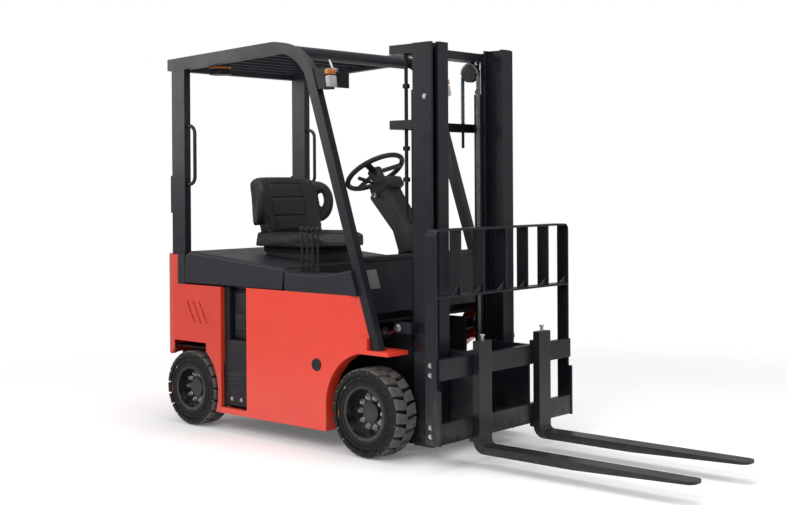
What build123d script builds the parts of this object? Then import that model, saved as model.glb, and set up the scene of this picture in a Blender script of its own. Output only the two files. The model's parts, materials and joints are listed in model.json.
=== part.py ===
"""Four-wheel electric counterbalance lift truck with a two-stage mast, millimetres.

Frame: +X forward over the forks, +Y to the driver's left, +Z up from the ground.
The origin is on the ground under the middle of the overall length.
"""
import os
from math import cos, radians, sin, tan

from build123d import *

# Overall sizes and the axles
front_reach = 1717.0
wheelbase = 1376.0
rear_overhang = 309.0
length = front_reach + wheelbase + rear_overhang
fa = length / 2 - front_reach
ra = fa - wheelbase
rear_x = -length / 2
body_half = 530.0
plate = 30.0
seat_gap = 0.3
run_gap = 6.0

# Wheels
front_r = 229.0
front_w = 165.0
front_out = body_half + 8.0
rear_r = 216.0
rear_w = 145.0
rear_out = body_half + 5.0
shoulder = 16.0
lug_count = 20
lug_h = 15.0
lug_groove = 9.0
lug_mid = 3.0
front_rim_r = 140.0
rear_rim_r = 128.0
rim_wall = 16.0
disc_t = 18.0
hub_r = 52.0
stud_count = 10
stud_pcd_r = 79.0
stud_r = 8.0
stud_len = 16.0
bore_r = 36.0
rim_lip = 6.0
hub_in = 32.0
hub_cap = 8.0
front_dish = 70.0
rear_dish = 65.0

# Drive axle
axle_r = 70.0
axle_case_r = 128.0
axle_case_half = 150.0
drum_r = 118.0
drum_w = 34.0
drum_in = front_out - 204.0
motor_r = 95.0

# Steer axle and knuckles
king_y = rear_out - 200.0
king_r = 18.0
boss_r = 38.0
beam_half_x = 46.0
beam_end_x = 32.0
beam_wide = king_y - 65.0
beam_half_z = 34.0
beam_low = rear_r - beam_half_z
beam_high = rear_r + beam_half_z
ear_gap = 2.0
ear_t = 22.0
web_gap = 4.0
web_t = 14.0
web_half_x = 34.0
spindle_r = 26.0
axle_mount_half_x = 60.0
axle_mount_half_y = 90.0

# Chassis
sill_low = 105.0
pan_t = 20.0
pan_top = sill_low + pan_t
pan_half = body_half - plate
bulk_t = 15.0
rear_bulk_x = fa - 1060.0
front_bulk_x = fa - 300.0
chassis_top = 665.0
cheek_in = 190.0
cheek_t = 20.0
cheek_front = fa + 78.0
deck_x0 = fa - 570.0
floor_t = 15.0
floor_top = chassis_top + floor_t
floor_front = fa - 70.0

# Battery
battery_half = body_half - 62.0
rib_low = 538.0
battery_x1 = deck_x0 - bulk_t - run_gap
battery_gap = 4.0
battery_x0 = rear_bulk_x + battery_gap

# Side panels
panel_top = 820.0
battery_top = panel_top - bulk_t - run_gap
slot_x1 = fa - 889.0
slot_x0 = fa - 1105.0
slot_low = 137.0
arch_x = fa - 272.0
arch_knee = 262.0
arch_mid_x = fa - 184.0
arch_mid_z = 450.0
arch_top_x = fa - 40.0
fender_low = 528.0
fender_top = 550.0
fender_x = fa + 165.0
fender_in = body_half - 154.0
flange_in = body_half - 75.0
flange_t = 22.0
panel_foot_z = 609.0
bevel_run = 56.0
bevel_in = 22.0
entry_x0 = fa - 560.0
entry_x1 = front_bulk_x - bulk_t
entry_mid_x = fa - 205.0
entry_mid_z = 600.0
entry_z = 430.0
entry_in = body_half - 100.0
riser_t = 12.0

# Counterweight
cw_side_top = 815.0
cw_top = 985.0
cw_arch = 486.0
cw_corner = 185.0
cw_upper_x = fa - 1485.0
cw_seat_x = fa - 1425.0
cw_seat_half = body_half - 32.0
cw_inner_half = body_half - 35.0
cw_core_half = 125.0
cw_core_x = fa - 1444.0
cw_low = 115.0
cw_skirt = 400.0
vent_count = 3
vent_x = fa - 1368.0
vent_z = 659.0
vent_pitch = 54.0
vent_len = 146.0
vent_w = 9.0
vent_turn = -61.0
vent_depth = 14.0
cw_well_r = 240.0
cw_arch_half = 246.0
strip_t = 25.0
tow_deep = 90.0
tow_half = 62.0
tow_z0 = 262.0
tow_z1 = 330.0
tow_r = 14.0
tow_seat = 40.0
tow_rise = 45.0

# Hood and seat
hood_low = panel_top + run_gap
hood_top = 985.0
hood_side_t = 26.0
hood_deck_t = 28.0
hood_round = 18.0
console_round = 12.0
hood_rear = cw_seat_x + run_gap
console_in = body_half - 130.0
hood_nose = fa - 585.0
hood_nose_in = 16.0
hood_nose_top = 942.0
hood_crown_x = fa - 1380.0
hood_crown = 1008.0
console_gap = 5.0
console_start = 935.0
console_dip = 918.0
console_dip_x0 = fa - 565.0
console_dip_x1 = fa - 285.0
console_end = 950.0
hinge_x = hood_rear + 12.0
hinge_z = hood_top - 12.0
hinge_y = 250.0
hinge_half = 12.0
hinge_gap = 2.0
hinge_pin_r = 6.0
hinge_pin_half = 30.0
hinge_lug = 9.0
hinge_notch = 18.0
seat_x = fa - 905.0
seat_base_l = 400.0
seat_base_w = 360.0
cushion_low = 1031.0
cushion_l = 500.0
cushion_w = 470.0
cushion_h = 70.0
back_w = 480.0
back_h = 350.0
back_t = 90.0
back_lean = 12.0
cushion_round = 60.0
cushion_edge = 25.0
wing_x = fa - 985.0
wing_t = 56.0
wing_low = 34.0
wing_mid = 96.0
wing_high = 190.0
wing_top = 285.0
wing_back = 42.0
hole_x = fa - 1058.0
hole_z = 1300.0
hole_half_x = 24.0
hole_half_z = 45.0

# Overhead guard
guard_half = body_half - 20.0
guard_w = 45.0
guard_rear = fa - 1596.0
guard_rear_top = 2131.0
guard_peak_x = fa - 700.0
guard_peak_z = guard_rear_top + 34.0
guard_bend_x = fa - 520.0
guard_bend_z = guard_rear_top - 9.0
guard_drop_x = fa - 380.0
guard_drop_z = guard_rear_top - 131.0
guard_foot_x = fa + 90.0
guard_depth = 67.0
post_run = 49.0
inner_drop_x = fa - 438.0
inner_drop_z = guard_rear_top - 156.0
inner_bend_x = fa - 545.0
inner_bend_z = guard_rear_top - 59.0
rear_post_x0 = fa - 1557.0
rear_post_x1 = fa - 1441.0
slat_t = 12.0
slat_h = 40.0
slat_count = 8
rail_r = 24.0
rail_x = fa - 575.0
rail_z = guard_rear_top - 25.0
slat_x0 = fa - 1430.0
slat_pitch = 100.0
slat_drop = 12.0
rear_rail = 50.0
post_rise = guard_rear_top - cw_top
handle_low = 0.358
handle_high = 0.6545
handle_z0 = cw_top + handle_low * post_rise
handle_z1 = cw_top + handle_high * post_rise
handle_out = 45.0
handle_r = 10.0

# Mast
mast_low = 65.0
mast_top = 2105.0
outer_half = body_half - 185.0
outer_in = outer_half - 34.0
outer_web = 13.0
outer_flange = 14.0
outer_x0 = fa + 175.0
outer_x1 = fa + 296.0
outer_lip = 18.0
inner_half = outer_half - 39.0
inner_in = inner_half - 78.0
inner_web = 14.0
inner_flange = 15.0
inner_x0 = fa + 187.0
inner_x1 = fa + 314.0
inner_low = 75.0
tie_x0 = fa + 18.0
tie_x1 = fa + 56.0
tie_h = 46.0
tie_top_z = 2079.0
tie_mid_z = 1693.0
foot_x0 = fa + 103.0
foot_t = 30.0
foot_low = 70.0
arm_in = outer_half - 39.0
arm_t = 20.0
arm_half = 55.0
arm_r = 102.0
bottom_t = 26.0
bottom_h = 60.0
roller_gap = 1.5

# Lift cylinders and chains
ram_x = fa + 139.0
ram_y = inner_half - 44.0
ram_r = 34.0
ram_top = 1873.0
ram_rod_r = 22.0
ram_bore_low = 300.0
pulley_x = fa + 122.0
pulley_y = inner_in - 32.0
pulley_z = 1983.0
pulley_r = 46.0
pulley_w = 30.0
chain_w = 24.0
chain_t = 12.0
chain_gap = 0.4
chain_low = 330.0
anchor_h = 44.0
anchor_rod_r = 8.0
anchor_rod = 110.0
bracket_t = 10.0
bracket_w = 24.0
anchor_low = 296.0
cross_z0 = 2046.0
cross_z1 = 2088.0
cross_x0 = fa + 112.0

# Carriage, backrest and forks
bar_low = 141.0
carriage_h = 407.0
bar_h = 100.0
bar_t = 31.0
bar_front = fa + 522.0
fork_face = fa + 563.0
fork_t = 40.0
fork_w = 101.0
fork_y = 254.0
fork_top = 617.0
fork_blade_top = 104.0
fork_blade_t = 38.0
fork_tip_t = 14.0
fork_heel_r = 62.0
fork_taper = 620.0
fork_root_r = 24.0
fork_tip_r = 38.0
bulge = 1 - 0.5 ** 0.5
hook_h = 22.0
hook_t = 22.0
pin_r = 9.0
pin_len = 70.0
back_half = 563.0
back_x0 = fa + 437.0
back_x1 = fa + 505.0
back_top = 1171.0
back_low_z = 136.0
back_bar = 10.0
back_corner = 34.0
back_bar_count = 7
shelf_z = 838.0
end_plate_top = 400.0
end_plate_x1 = fa + 527.0
guide_in = inner_in - 24.0
guide_t = 16.0
guide_x0 = fa + 212.0
roller_in = guide_in + guide_t
roller_out = inner_in + 27.0
roller_low = 190.0
roller_high = 505.0

# Tilt cylinders
tilt_y = body_half - 152.0
tilt_pin_x = fa + 120.0
tilt_pin_z = 660.0
tilt_anchor_x = fa - 270.0
tilt_anchor_z = 530.0
tilt_r = 30.0
tilt_rod_r = 13.0
tilt_neck = 42.0
tilt_barrel = 305.0
tilt_rod = 290.0
tilt_bore = 52.0
tilt_eye_r = 26.0
tilt_eye_w = 28.0
tilt_pin_r = 12.0
lug_t = 10.0
lug_gap = 1.0
lug_root = 30.0
pin_play = 1.5
lug_out = tilt_eye_w / 2 + lug_gap + lug_t

# Controls and lamps
wheel_x = fa - 402.0
wheel_z = 1457.0
wheel_r = 166.0
wheel_grip = 14.0
wheel_lean = 34.0
column_top = 58.0
column_len = 520.0
hub_grip = 38.0
spoke_w = 34.0
spoke_t = 12.0
column_w = 92.0
column_d = 84.0
cover_half = 88.0
cover_x0 = wheel_x + 7.0
cover_z0 = wheel_z - 146.0
cover_x1 = wheel_x + 72.0
cover_z1 = wheel_z - 58.0
cover_x2 = wheel_x + 140.0
cover_x3 = wheel_x + 180.0
cover_z3 = wheel_z - 132.0
cover_x4 = wheel_x + 312.0
cover_z4 = wheel_z - 329.0
cover_x5 = wheel_x + 318.0
cover_z5 = wheel_z - 430.0
cover_x6 = wheel_x + 249.0
cover_z6 = wheel_z - 460.0
cover_x7 = wheel_x + 190.0
cover_z7 = wheel_z - 326.0
lever_count = 4
lever_pitch = 40.0
lever_h = 232.0
lever_r = 6.0
lever_x = fa - 485.0
lever_y = 100.0 - body_half
knob_r = 14.0
spoke_count = 3
spoke_turn = 90.0
cowl_knee = 730.0
cowl_top = 1000.0
cowl_in = 16.0
cowl_t = 14.0
cowl_tube_r = 18.0
bracket_half = 78.0
bracket_low = 760.0
bracket_run = 60.0
pedal_x = fa - 150.0
pedal_t = 12.0
pedal_h = 110.0
pedal_arm = 26.0
pedal_go_y = -130.0
pedal_go_w = 80.0
pedal_stop_y = 60.0
pedal_stop_w = 130.0
lamp_out = guard_half - 5.0
lamp_in = guard_half - 70.0
lamp_z1 = guard_drop_z
lamp_z0 = lamp_z1 - 110.0
lamp_x1 = fa - 282.0
lamp_t = 18.0
mirror_x = fa - 335.0
mirror_t = 16.0
mirror_w = 148.0
mirror_z0 = lamp_z0 + 15.0
mirror_z1 = lamp_z1 - 10.0
beacon_y = 180.0 - guard_half
beacon_r = 62.0
beacon_h = 46.0
rear_lamp_t = 22.0
rear_lamp_in = 6.0
rear_lamp_low = 0.212
rear_lamp_high = 0.4014
rear_lamp_z0 = cw_top + rear_lamp_low * post_rise
rear_lamp_z1 = cw_top + rear_lamp_high * post_rise


def block(x0, x1, y0, y1, z0, z1, mode=Mode.ADD):
    """Box between six limits, added to the part in hand."""
    with Locations(((x0 + x1) / 2, (y0 + y1) / 2, (z0 + z1) / 2)):
        Box(x1 - x0, y1 - y0, z1 - z0, mode=mode)


def bar_y(x, z, r, y0, y1, mode=Mode.ADD):
    """Round bar along Y between two limits."""
    with Locations(Location((x, (y0 + y1) / 2, z), (90, 0, 0))):
        Cylinder(r, y1 - y0, mode=mode)


def bar_z(x, y, r, z0, z1, mode=Mode.ADD):
    """Upright round bar between two heights."""
    with Locations((x, y, (z0 + z1) / 2)):
        Cylinder(r, z1 - z0, mode=mode)


def save(builder, name):
    """Label the finished piece and write its file."""
    builder.part.label = name
    export_step(builder.part, f"parts/{name}.step")


def post_face(z):
    """X of the front posts' leading face at a height."""
    return guard_foot_x - (guard_foot_x - guard_drop_x) * (z - fender_top) / (guard_drop_z - fender_top)


def post_back(z):
    """X of the front posts' rear face at a height."""
    foot = guard_foot_x - post_run
    return foot - (foot - inner_drop_x) * (z - fender_top) / (inner_drop_z - fender_top)


def hood_line(x):
    """Height of the hood's deck between its crown and its nose."""
    return hood_crown + (hood_nose_top - hood_crown) * (x - hood_crown_x) / (hood_nose - hood_crown_x)


os.makedirs("parts", exist_ok=True)
sides = {"right": -1, "left": 1}


# Wheels: each tyre is a chamfered ring with lugs, each rim a drum with a disc, a hub and studs
def make_tyre(name, x, r, rim_r, side, out, w):
    """Tyre ring with a row of notched lugs on each shoulder."""
    y0, y1 = sorted((side * out, side * (out - w)))
    with BuildPart() as tyre:
        bar_y(x, r, r, y0, y1)
        chamfer(tyre.edges().filter_by(GeomType.CIRCLE), shoulder)
        bar_y(x, r, rim_r, y0, y1, Mode.SUBTRACT)
        for face, way, turn in ((y0, 1, 0), (y1, -1, 180 / lug_count)):
            with BuildSketch(Plane(origin=(x, face, r), x_dir=(1, 0, 0), z_dir=(0, way, 0))):
                with PolarLocations(r - lug_h / 2 + lug_mid, lug_count, turn):
                    Rectangle(lug_h + 2 * lug_mid, lug_groove)
            extrude(amount=w / 2 - lug_mid, mode=Mode.SUBTRACT)
    save(tyre, name)


def make_rim(name, x, r, rim_r, side, out, w, dish, bore):
    """Rim drum with its disc set in by the dish, its hub and its studs."""
    face = out - dish
    with BuildPart() as rim:
        bar_y(x, r, rim_r, *sorted((side * (out - rim_lip), side * (out - w + rim_lip))))
        bar_y(x, r, rim_r - rim_wall, *sorted((side * out, side * (out - w))), Mode.SUBTRACT)
        bar_y(x, r, rim_r - rim_wall / 2, *sorted((side * face, side * (face - disc_t))))
        bar_y(x, r, hub_r, *sorted((side * (face + stud_len), side * (face - hub_in))))
        bar_y(x, r, bore, *sorted((side * (face + stud_len - hub_cap), side * (face - hub_in))), Mode.SUBTRACT)
        for k in range(stud_count):
            turn = radians(360 * k / stud_count)
            stud_x = x + stud_pcd_r * cos(turn)
            stud_z = r + stud_pcd_r * sin(turn)
            bar_y(stud_x, stud_z, stud_r, *sorted((side * (face - disc_t / 2), side * (face + stud_len))))
    save(rim, name)


for side_name, side in sides.items():
    make_tyre(f"tyre_front_{side_name}", fa, front_r, front_rim_r, side, front_out, front_w)
    make_rim(f"rim_front_{side_name}", fa, front_r, front_rim_r, side, front_out, front_w, front_dish, bore_r)
    make_tyre(f"tyre_rear_{side_name}", ra, rear_r, rear_rim_r, side, rear_out, rear_w)
    make_rim(f"rim_rear_{side_name}", ra, rear_r, rear_rim_r, side, rear_out, rear_w, rear_dish,
             spindle_r + seat_gap)

# Drive axle: tube, round case in the middle, brake drums, wheel spindles and the motor
front_face = front_out - front_dish
with BuildPart() as drive_axle:
    bar_y(fa, front_r, axle_r, -drum_in, drum_in)
    bar_y(fa, front_r, axle_case_r, -axle_case_half, axle_case_half)
    for side in sides.values():
        bar_y(fa, front_r, drum_r, *sorted((side * drum_in, side * (drum_in + drum_w))))
        bar_y(fa, front_r, bore_r - seat_gap,
              *sorted((side * drum_in, side * (front_face + stud_len - hub_cap - seat_gap))))
    motor_x0 = front_bulk_x + run_gap
    with Locations(Location(((motor_x0 + fa) / 2, 0, front_r), (0, 90, 0))):
        Cylinder(motor_r, fa - motor_x0)
save(drive_axle, "drive_axle")

# Steer axle: beam with bored king pin bosses and the block that carries the counterweight
with BuildPart() as steer_axle:
    block(ra - beam_half_x, ra + beam_half_x, -beam_wide, beam_wide, beam_low, beam_high)
    block(ra - beam_end_x, ra + beam_end_x, -king_y, king_y, beam_low, beam_high)
    for side in sides.values():
        bar_z(ra, side * king_y, boss_r, beam_low, beam_high)
        bar_z(ra, side * king_y, king_r + seat_gap, beam_low, beam_high, Mode.SUBTRACT)
    block(ra - axle_mount_half_x, ra + axle_mount_half_x, -axle_mount_half_y, axle_mount_half_y,
          beam_high, cw_skirt)
save(steer_axle, "steer_axle")

# Knuckles: two ears on the king pin, a web and the wheel's spindle
rear_face = rear_out - rear_dish
web_in = king_y + boss_r + web_gap
for side_name, side in sides.items():
    with BuildPart() as knuckle:
        for z0 in (beam_low - ear_gap - ear_t, beam_high + ear_gap):
            bar_z(ra, side * king_y, boss_r, z0, z0 + ear_t)
            block(ra - web_half_x, ra + web_half_x, *sorted((side * king_y, side * (web_in + web_t))),
                  z0, z0 + ear_t)
        block(ra - web_half_x, ra + web_half_x, *sorted((side * web_in, side * (web_in + web_t))),
              beam_low - ear_gap - ear_t, beam_high + ear_gap + ear_t)
        bar_z(ra, side * king_y, king_r, beam_low - ear_gap, beam_high + ear_gap)
        bar_y(ra, rear_r, spindle_r,
              *sorted((side * web_in, side * (rear_face + stud_len - hub_cap - seat_gap))))
    save(knuckle, f"knuckle_{side_name}")

# Chassis: floor pan, bulkheads, and the cheeks that hold the drive axle
with BuildPart() as chassis_frame:
    block(rear_bulk_x - bulk_t, cheek_front, -cheek_in - cheek_t, cheek_in + cheek_t, sill_low, pan_top)
    block(rear_bulk_x - bulk_t, front_bulk_x, -pan_half, pan_half, sill_low, pan_top)
    block(rear_bulk_x - bulk_t, rear_bulk_x, -pan_half, pan_half, sill_low, panel_top)
    block(front_bulk_x - bulk_t, front_bulk_x, -pan_half, pan_half, sill_low, chassis_top)
    for side in sides.values():
        block(front_bulk_x, cheek_front, *sorted((side * cheek_in, side * (cheek_in + cheek_t))),
              sill_low, chassis_top)
        block(deck_x0, front_bulk_x - bulk_t, *sorted((side * (pan_half - bulk_t), side * pan_half)),
              rib_low, chassis_top)
        for y0 in (tilt_y - lug_out, tilt_y + lug_out - lug_t):
            block(front_bulk_x, tilt_anchor_x + tilt_eye_r, *sorted((side * y0, side * (y0 + lug_t))),
                  tilt_anchor_z - tilt_eye_r, tilt_anchor_z + tilt_eye_r)
        bar_y(tilt_anchor_x, tilt_anchor_z, tilt_pin_r, side * tilt_y - lug_out, side * tilt_y + lug_out)
    block(rear_bulk_x, deck_x0, -battery_half, battery_half, panel_top - bulk_t, panel_top)
    block(deck_x0 - bulk_t, deck_x0, -pan_half, pan_half, rib_low, panel_top)
    block(entry_x0, entry_x1, entry_in - riser_t, pan_half, pan_top, chassis_top, Mode.SUBTRACT)
    block(deck_x0, entry_x1, entry_in - riser_t, entry_in, pan_top, chassis_top)
    block(deck_x0, entry_x1, entry_in - riser_t, pan_half, entry_z - bulk_t, entry_z)
    bar_y(fa, front_r, axle_case_r + run_gap, -axle_case_half, axle_case_half, Mode.SUBTRACT)
    bar_y(fa, front_r, axle_r, -pan_half, pan_half, Mode.SUBTRACT)
save(chassis_frame, "chassis_frame")

# Battery: one plain block on the floor pan between the bulkheads
with BuildPart() as battery:
    block(battery_x0, battery_x1, -battery_half, battery_half, pan_top, battery_top)
save(battery, "battery")


# Side panels: skin with the front wheel arch, its flange and the fender over the tyre
def make_panel(name, side):
    """Side skin; the left one has the entry notch over its step."""
    with BuildPart() as panel:
        with BuildSketch(Plane.XZ.offset(-side * body_half)):
            with BuildLine():
                skin = Polyline((arch_x, arch_knee), (arch_x, sill_low), (slot_x0, sill_low),
                                (slot_x0, slot_low), (slot_x1, slot_low), (slot_x1, panel_top))
                if side > 0:
                    edge = Polyline(skin @ 1, (entry_x0, panel_top), (entry_x0, entry_z), (entry_x1, entry_z),
                                    (entry_mid_x, entry_mid_z), (post_back(panel_top), panel_top))
                else:
                    edge = Polyline(skin @ 1, (post_back(panel_top), panel_top))
                Polyline(edge @ 1, (post_back(panel_foot_z), panel_foot_z), (post_back(panel_foot_z), fender_top),
                         (fender_x, fender_top), (fender_x, fender_low), (arch_top_x, fender_low))
                ThreePointArc((arch_top_x, fender_low), (arch_mid_x, arch_mid_z), (arch_x, arch_knee))
            make_face()
        extrude(amount=side * plate)
        rise = Vector(post_back(panel_top) - post_back(panel_foot_z), 0, panel_top - panel_foot_z)
        foot_x = post_back(panel_foot_z)
        with BuildSketch(Plane.XY.offset(panel_foot_z)):
            with BuildLine():
                Polyline((foot_x - bevel_run, side * body_half), (foot_x, side * body_half),
                         (foot_x, side * (body_half - bevel_in)), close=True)
            make_face()
        extrude(amount=rise.length, dir=rise.normalized(), mode=Mode.SUBTRACT)
        with BuildSketch(Plane.XZ.offset(-side * (body_half - plate))):
            with BuildLine():
                Polyline((arch_x, arch_knee), (arch_x, sill_low), (arch_x - flange_t, sill_low),
                         (arch_x - flange_t, arch_knee))
                ThreePointArc((arch_x - flange_t, arch_knee), (arch_mid_x - flange_t, arch_mid_z + flange_t),
                              (arch_top_x, fender_top))
                Polyline((arch_top_x, fender_top), (arch_top_x, fender_low))
                ThreePointArc((arch_top_x, fender_low), (arch_mid_x, arch_mid_z), (arch_x, arch_knee))
            make_face()
        extrude(amount=side * (body_half - plate - flange_in))
        block(arch_top_x, fender_x, *sorted((side * fender_in, side * (body_half - plate))),
              fender_low, fender_top)
    save(panel, name)


for side_name, side in sides.items():
    make_panel(f"side_panel_{side_name}", side)

# Counterweight: rounded block with wells for the steered wheels, a core behind the axle and arched strips
with BuildPart() as counterweight:
    with BuildSketch(Plane.XY.offset(cw_skirt)):
        with Locations(((rear_x + slot_x0) / 2, 0)):
            Rectangle(slot_x0 - rear_x, 2 * body_half)
    extrude(amount=cw_side_top - cw_skirt)
    with BuildSketch(Plane.XY.offset(cw_side_top)):
        with Locations(((rear_x + cw_upper_x) / 2, 0)):
            Rectangle(cw_upper_x - rear_x, 2 * body_half)
    extrude(amount=cw_top - cw_side_top)
    block(rear_x, cw_core_x, -cw_core_half, cw_core_half, cw_low, cw_skirt)
    rear_corners = counterweight.edges().filter_by(Axis.Z).group_by(Axis.X)[0]
    fillet([e for e in rear_corners if abs(e.center().Y) > cw_core_half + plate], cw_corner)
    block(cw_upper_x, cw_seat_x, -cw_seat_half, cw_seat_half, cw_side_top, cw_top)
    block(slot_x0, rear_bulk_x - bulk_t, -cw_inner_half, cw_inner_half, cw_arch, cw_side_top)
    for side in sides.values():
        block((ra + slot_x0) / 2, slot_x0, *sorted((side * (body_half - strip_t), side * body_half)),
              sill_low, cw_skirt)
        bar_z(ra, side * king_y, cw_well_r, cw_skirt, cw_arch, Mode.SUBTRACT)
        with BuildSketch(Plane.XZ.offset(-side * body_half)):
            with Locations((ra, rear_r)):
                Ellipse(cw_arch_half, cw_arch - rear_r)
        extrude(amount=side * (body_half - king_y), mode=Mode.SUBTRACT)
        with BuildSketch(Plane.XZ.offset(-side * body_half)):
            for k in range(vent_count):
                with Locations(Location((vent_x + k * vent_pitch, vent_z, 0), (0, 0, vent_turn))):
                    SlotOverall(vent_len, vent_w)
        extrude(amount=side * vent_depth, mode=Mode.SUBTRACT)
    block(rear_x, rear_x + tow_deep, -tow_half, tow_half, tow_z0, tow_z1, Mode.SUBTRACT)
    bar_z(rear_x + tow_deep / 2, 0, tow_r + seat_gap, tow_z0 - tow_seat, tow_z1 + tow_rise, Mode.SUBTRACT)
save(counterweight, "counterweight")

# Tow pin through the pocket in the counterweight's core
with BuildPart() as tow_pin:
    bar_z(rear_x + tow_deep / 2, 0, tow_r, tow_z0 - tow_seat, tow_z1 + tow_rise)
save(tow_pin, "tow_pin")

# Fixed trim beside the pillars' feet, in line with the hood's sides
with BuildPart() as hood_trim:
    for side in sides.values():
        block(cw_upper_x, cw_seat_x, *sorted((side * cw_seat_half, side * body_half)), cw_side_top, cw_top)
save(hood_trim, "hood_trim")

# Hood: deck with turned-down sides and front, hinged at its rear edge
with BuildPart() as hood:
    with BuildSketch(Plane.XZ.offset(body_half)):
        with BuildLine():
            Polyline((hood_rear, hood_low), (hood_rear, hood_top), (hood_crown_x, hood_crown),
                     (hood_nose, hood_nose_top), (hood_nose - hood_nose_in, hood_low), close=True)
        make_face()
    extrude(amount=-2 * body_half)
    top_sides = [e for e in hood.edges() if abs(e.center().Y) > body_half - 1 and e.center().Z > hood_nose_top]
    fillet(top_sides, hood_round)
    inner_nose = hood_nose - hood_side_t
    with BuildSketch(Plane.XZ.offset(body_half - hood_side_t)):
        with BuildLine():
            Polyline((hood_rear - run_gap, hood_low), (hood_rear - run_gap, hood_top - hood_deck_t),
                     (hood_crown_x, hood_crown - hood_deck_t), (inner_nose, hood_line(inner_nose) - hood_deck_t),
                     (inner_nose - hood_nose_in, hood_low), close=True)
        make_face()
    extrude(amount=-2 * (body_half - hood_side_t), mode=Mode.SUBTRACT)
    for side in sides.values():
        y = side * hinge_y
        block(hood_rear, hinge_x + hinge_notch, y - hinge_half - hinge_gap, y + hinge_half + hinge_gap,
              hood_low, hood_crown, Mode.SUBTRACT)
        bar_y(hinge_x, hinge_z, hinge_pin_r + seat_gap, y - hinge_pin_half - hinge_gap,
              y + hinge_pin_half + hinge_gap, Mode.SUBTRACT)
save(hood, "hood")

with BuildPart() as hood_hinges:
    for side in sides.values():
        y = side * hinge_y
        block(cw_seat_x, hinge_x + hinge_lug, y - hinge_half, y + hinge_half, hinge_z - hinge_lug, hinge_z + hinge_lug)
        bar_y(hinge_x, hinge_z, hinge_pin_r, y - hinge_pin_half, y + hinge_pin_half)
save(hood_hinges, "hood_hinges")

# Side console: fixed cover from the hood to the front pillar, with the levers on it
console_x0 = hood_nose + console_gap
with BuildPart() as side_console:
    with BuildSketch(Plane.XZ.offset(body_half)):
        with BuildLine():
            Polyline((console_x0, panel_top), (post_back(panel_top), panel_top),
                     (post_back(console_end), console_end), (console_dip_x1, console_dip),
                     (console_dip_x0, console_dip), (console_x0, console_start), close=True)
        make_face()
    extrude(amount=-(body_half - console_in))
    top_edges = [e for e in side_console.edges() if e.center().Y < 1 - body_half and e.center().Z > console_dip - 1]
    fillet(top_edges, console_round)
    block(console_x0 + hood_side_t, post_back(console_end) - hood_side_t, -body_half + hood_side_t, -console_in,
          panel_top, console_dip - hood_deck_t, Mode.SUBTRACT)
save(side_console, "side_console")

with BuildPart() as levers:
    for k in range(lever_count):
        x = lever_x + (k - (lever_count - 1) / 2) * lever_pitch
        bar_z(x, lever_y, lever_r, console_dip, console_dip + lever_h)
        with Locations((x, lever_y, console_dip + lever_h)):
            Sphere(knob_r)
save(levers, "levers")

# Seat: base, cushion and leaning back with a pierced wing each side
base_x0 = seat_x - seat_base_l / 2
base_x1 = seat_x + seat_base_l / 2
with BuildPart() as seat_base:
    with BuildSketch(Plane.XZ.offset(seat_base_w / 2)):
        with BuildLine():
            Polyline((base_x0, hood_line(base_x0)), (base_x1, hood_line(base_x1)), (base_x1, cushion_low),
                     (base_x0, cushion_low), close=True)
        make_face()
    extrude(amount=-seat_base_w)
save(seat_base, "seat_base")

with BuildPart() as seat_cushion:
    block(seat_x - cushion_l / 2, seat_x + cushion_l / 2, -cushion_w / 2, cushion_w / 2,
          cushion_low, cushion_low + cushion_h)
    fillet(seat_cushion.edges().filter_by(Axis.Z), cushion_round)
    fillet(seat_cushion.faces().sort_by(Axis.Z)[-1].edges(), cushion_edge)
save(seat_cushion, "seat_cushion")

back_low = cushion_low + cushion_h
back_shift = back_h * tan(radians(back_lean))
back_x = seat_x - cushion_l / 2
with BuildPart() as seat_back:
    with BuildSketch(Plane.XZ.offset(back_w / 2)):
        with BuildLine():
            Polyline((back_x, back_low), (back_x + back_t, back_low), (back_x + back_t - back_shift, back_low + back_h),
                     (back_x - back_shift, back_low + back_h), close=True)
        make_face()
    extrude(amount=-back_w)
    fillet(seat_back.faces().sort_by(Axis.Z)[-1].edges().filter_by(Axis.X, reverse=True), cushion_edge)
    for side in sides.values():
        with BuildSketch(Plane.XZ.offset(-side * back_w / 2)):
            with BuildLine():
                Polyline((back_x + back_t / 2, back_low + wing_low), (back_x + back_t, back_low + wing_low),
                         (wing_x, back_low + wing_mid), (wing_x, back_low + wing_high),
                         (wing_x - wing_back, back_low + wing_top), (back_x, back_low + wing_top), close=True)
            make_face()
            with Locations((hole_x, hole_z)):
                Ellipse(hole_half_x, hole_half_z, mode=Mode.SUBTRACT)
        extrude(amount=side * wing_t)
save(seat_back, "seat_back")


# Overhead guard: each side is one bent frame, from the counterweight over the roof to the fender
def make_guard_side(name, side):
    """Rear post, roof beam and leaning front post in one profile."""
    with BuildPart() as frame:
        with BuildSketch(Plane.XZ.offset(-side * guard_half)):
            with BuildLine():
                Polyline((guard_drop_x, guard_drop_z), (guard_foot_x, fender_top),
                         (guard_foot_x - post_run, fender_top), (inner_drop_x, inner_drop_z))
                ThreePointArc((inner_drop_x, inner_drop_z), (inner_bend_x, inner_bend_z),
                              (guard_peak_x, guard_peak_z - guard_depth))
                Polyline((guard_peak_x, guard_peak_z - guard_depth), (rear_post_x1, guard_rear_top - guard_depth),
                         (rear_post_x1, cw_top), (rear_post_x0, cw_top),
                         (rear_post_x0, guard_rear_top - guard_depth), (guard_rear, guard_rear_top - guard_depth),
                         (guard_rear, guard_rear_top), (guard_peak_x, guard_peak_z))
                ThreePointArc((guard_peak_x, guard_peak_z), (guard_bend_x, guard_bend_z),
                              (guard_drop_x, guard_drop_z))
            make_face()
        extrude(amount=side * guard_w)
    save(frame, name)


for side_name, side in sides.items():
    make_guard_side(f"guard_side_{side_name}", side)

guard_in = guard_half - guard_w
roof_rise = (guard_peak_z - guard_rear_top) / (guard_peak_x - guard_rear)


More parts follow.
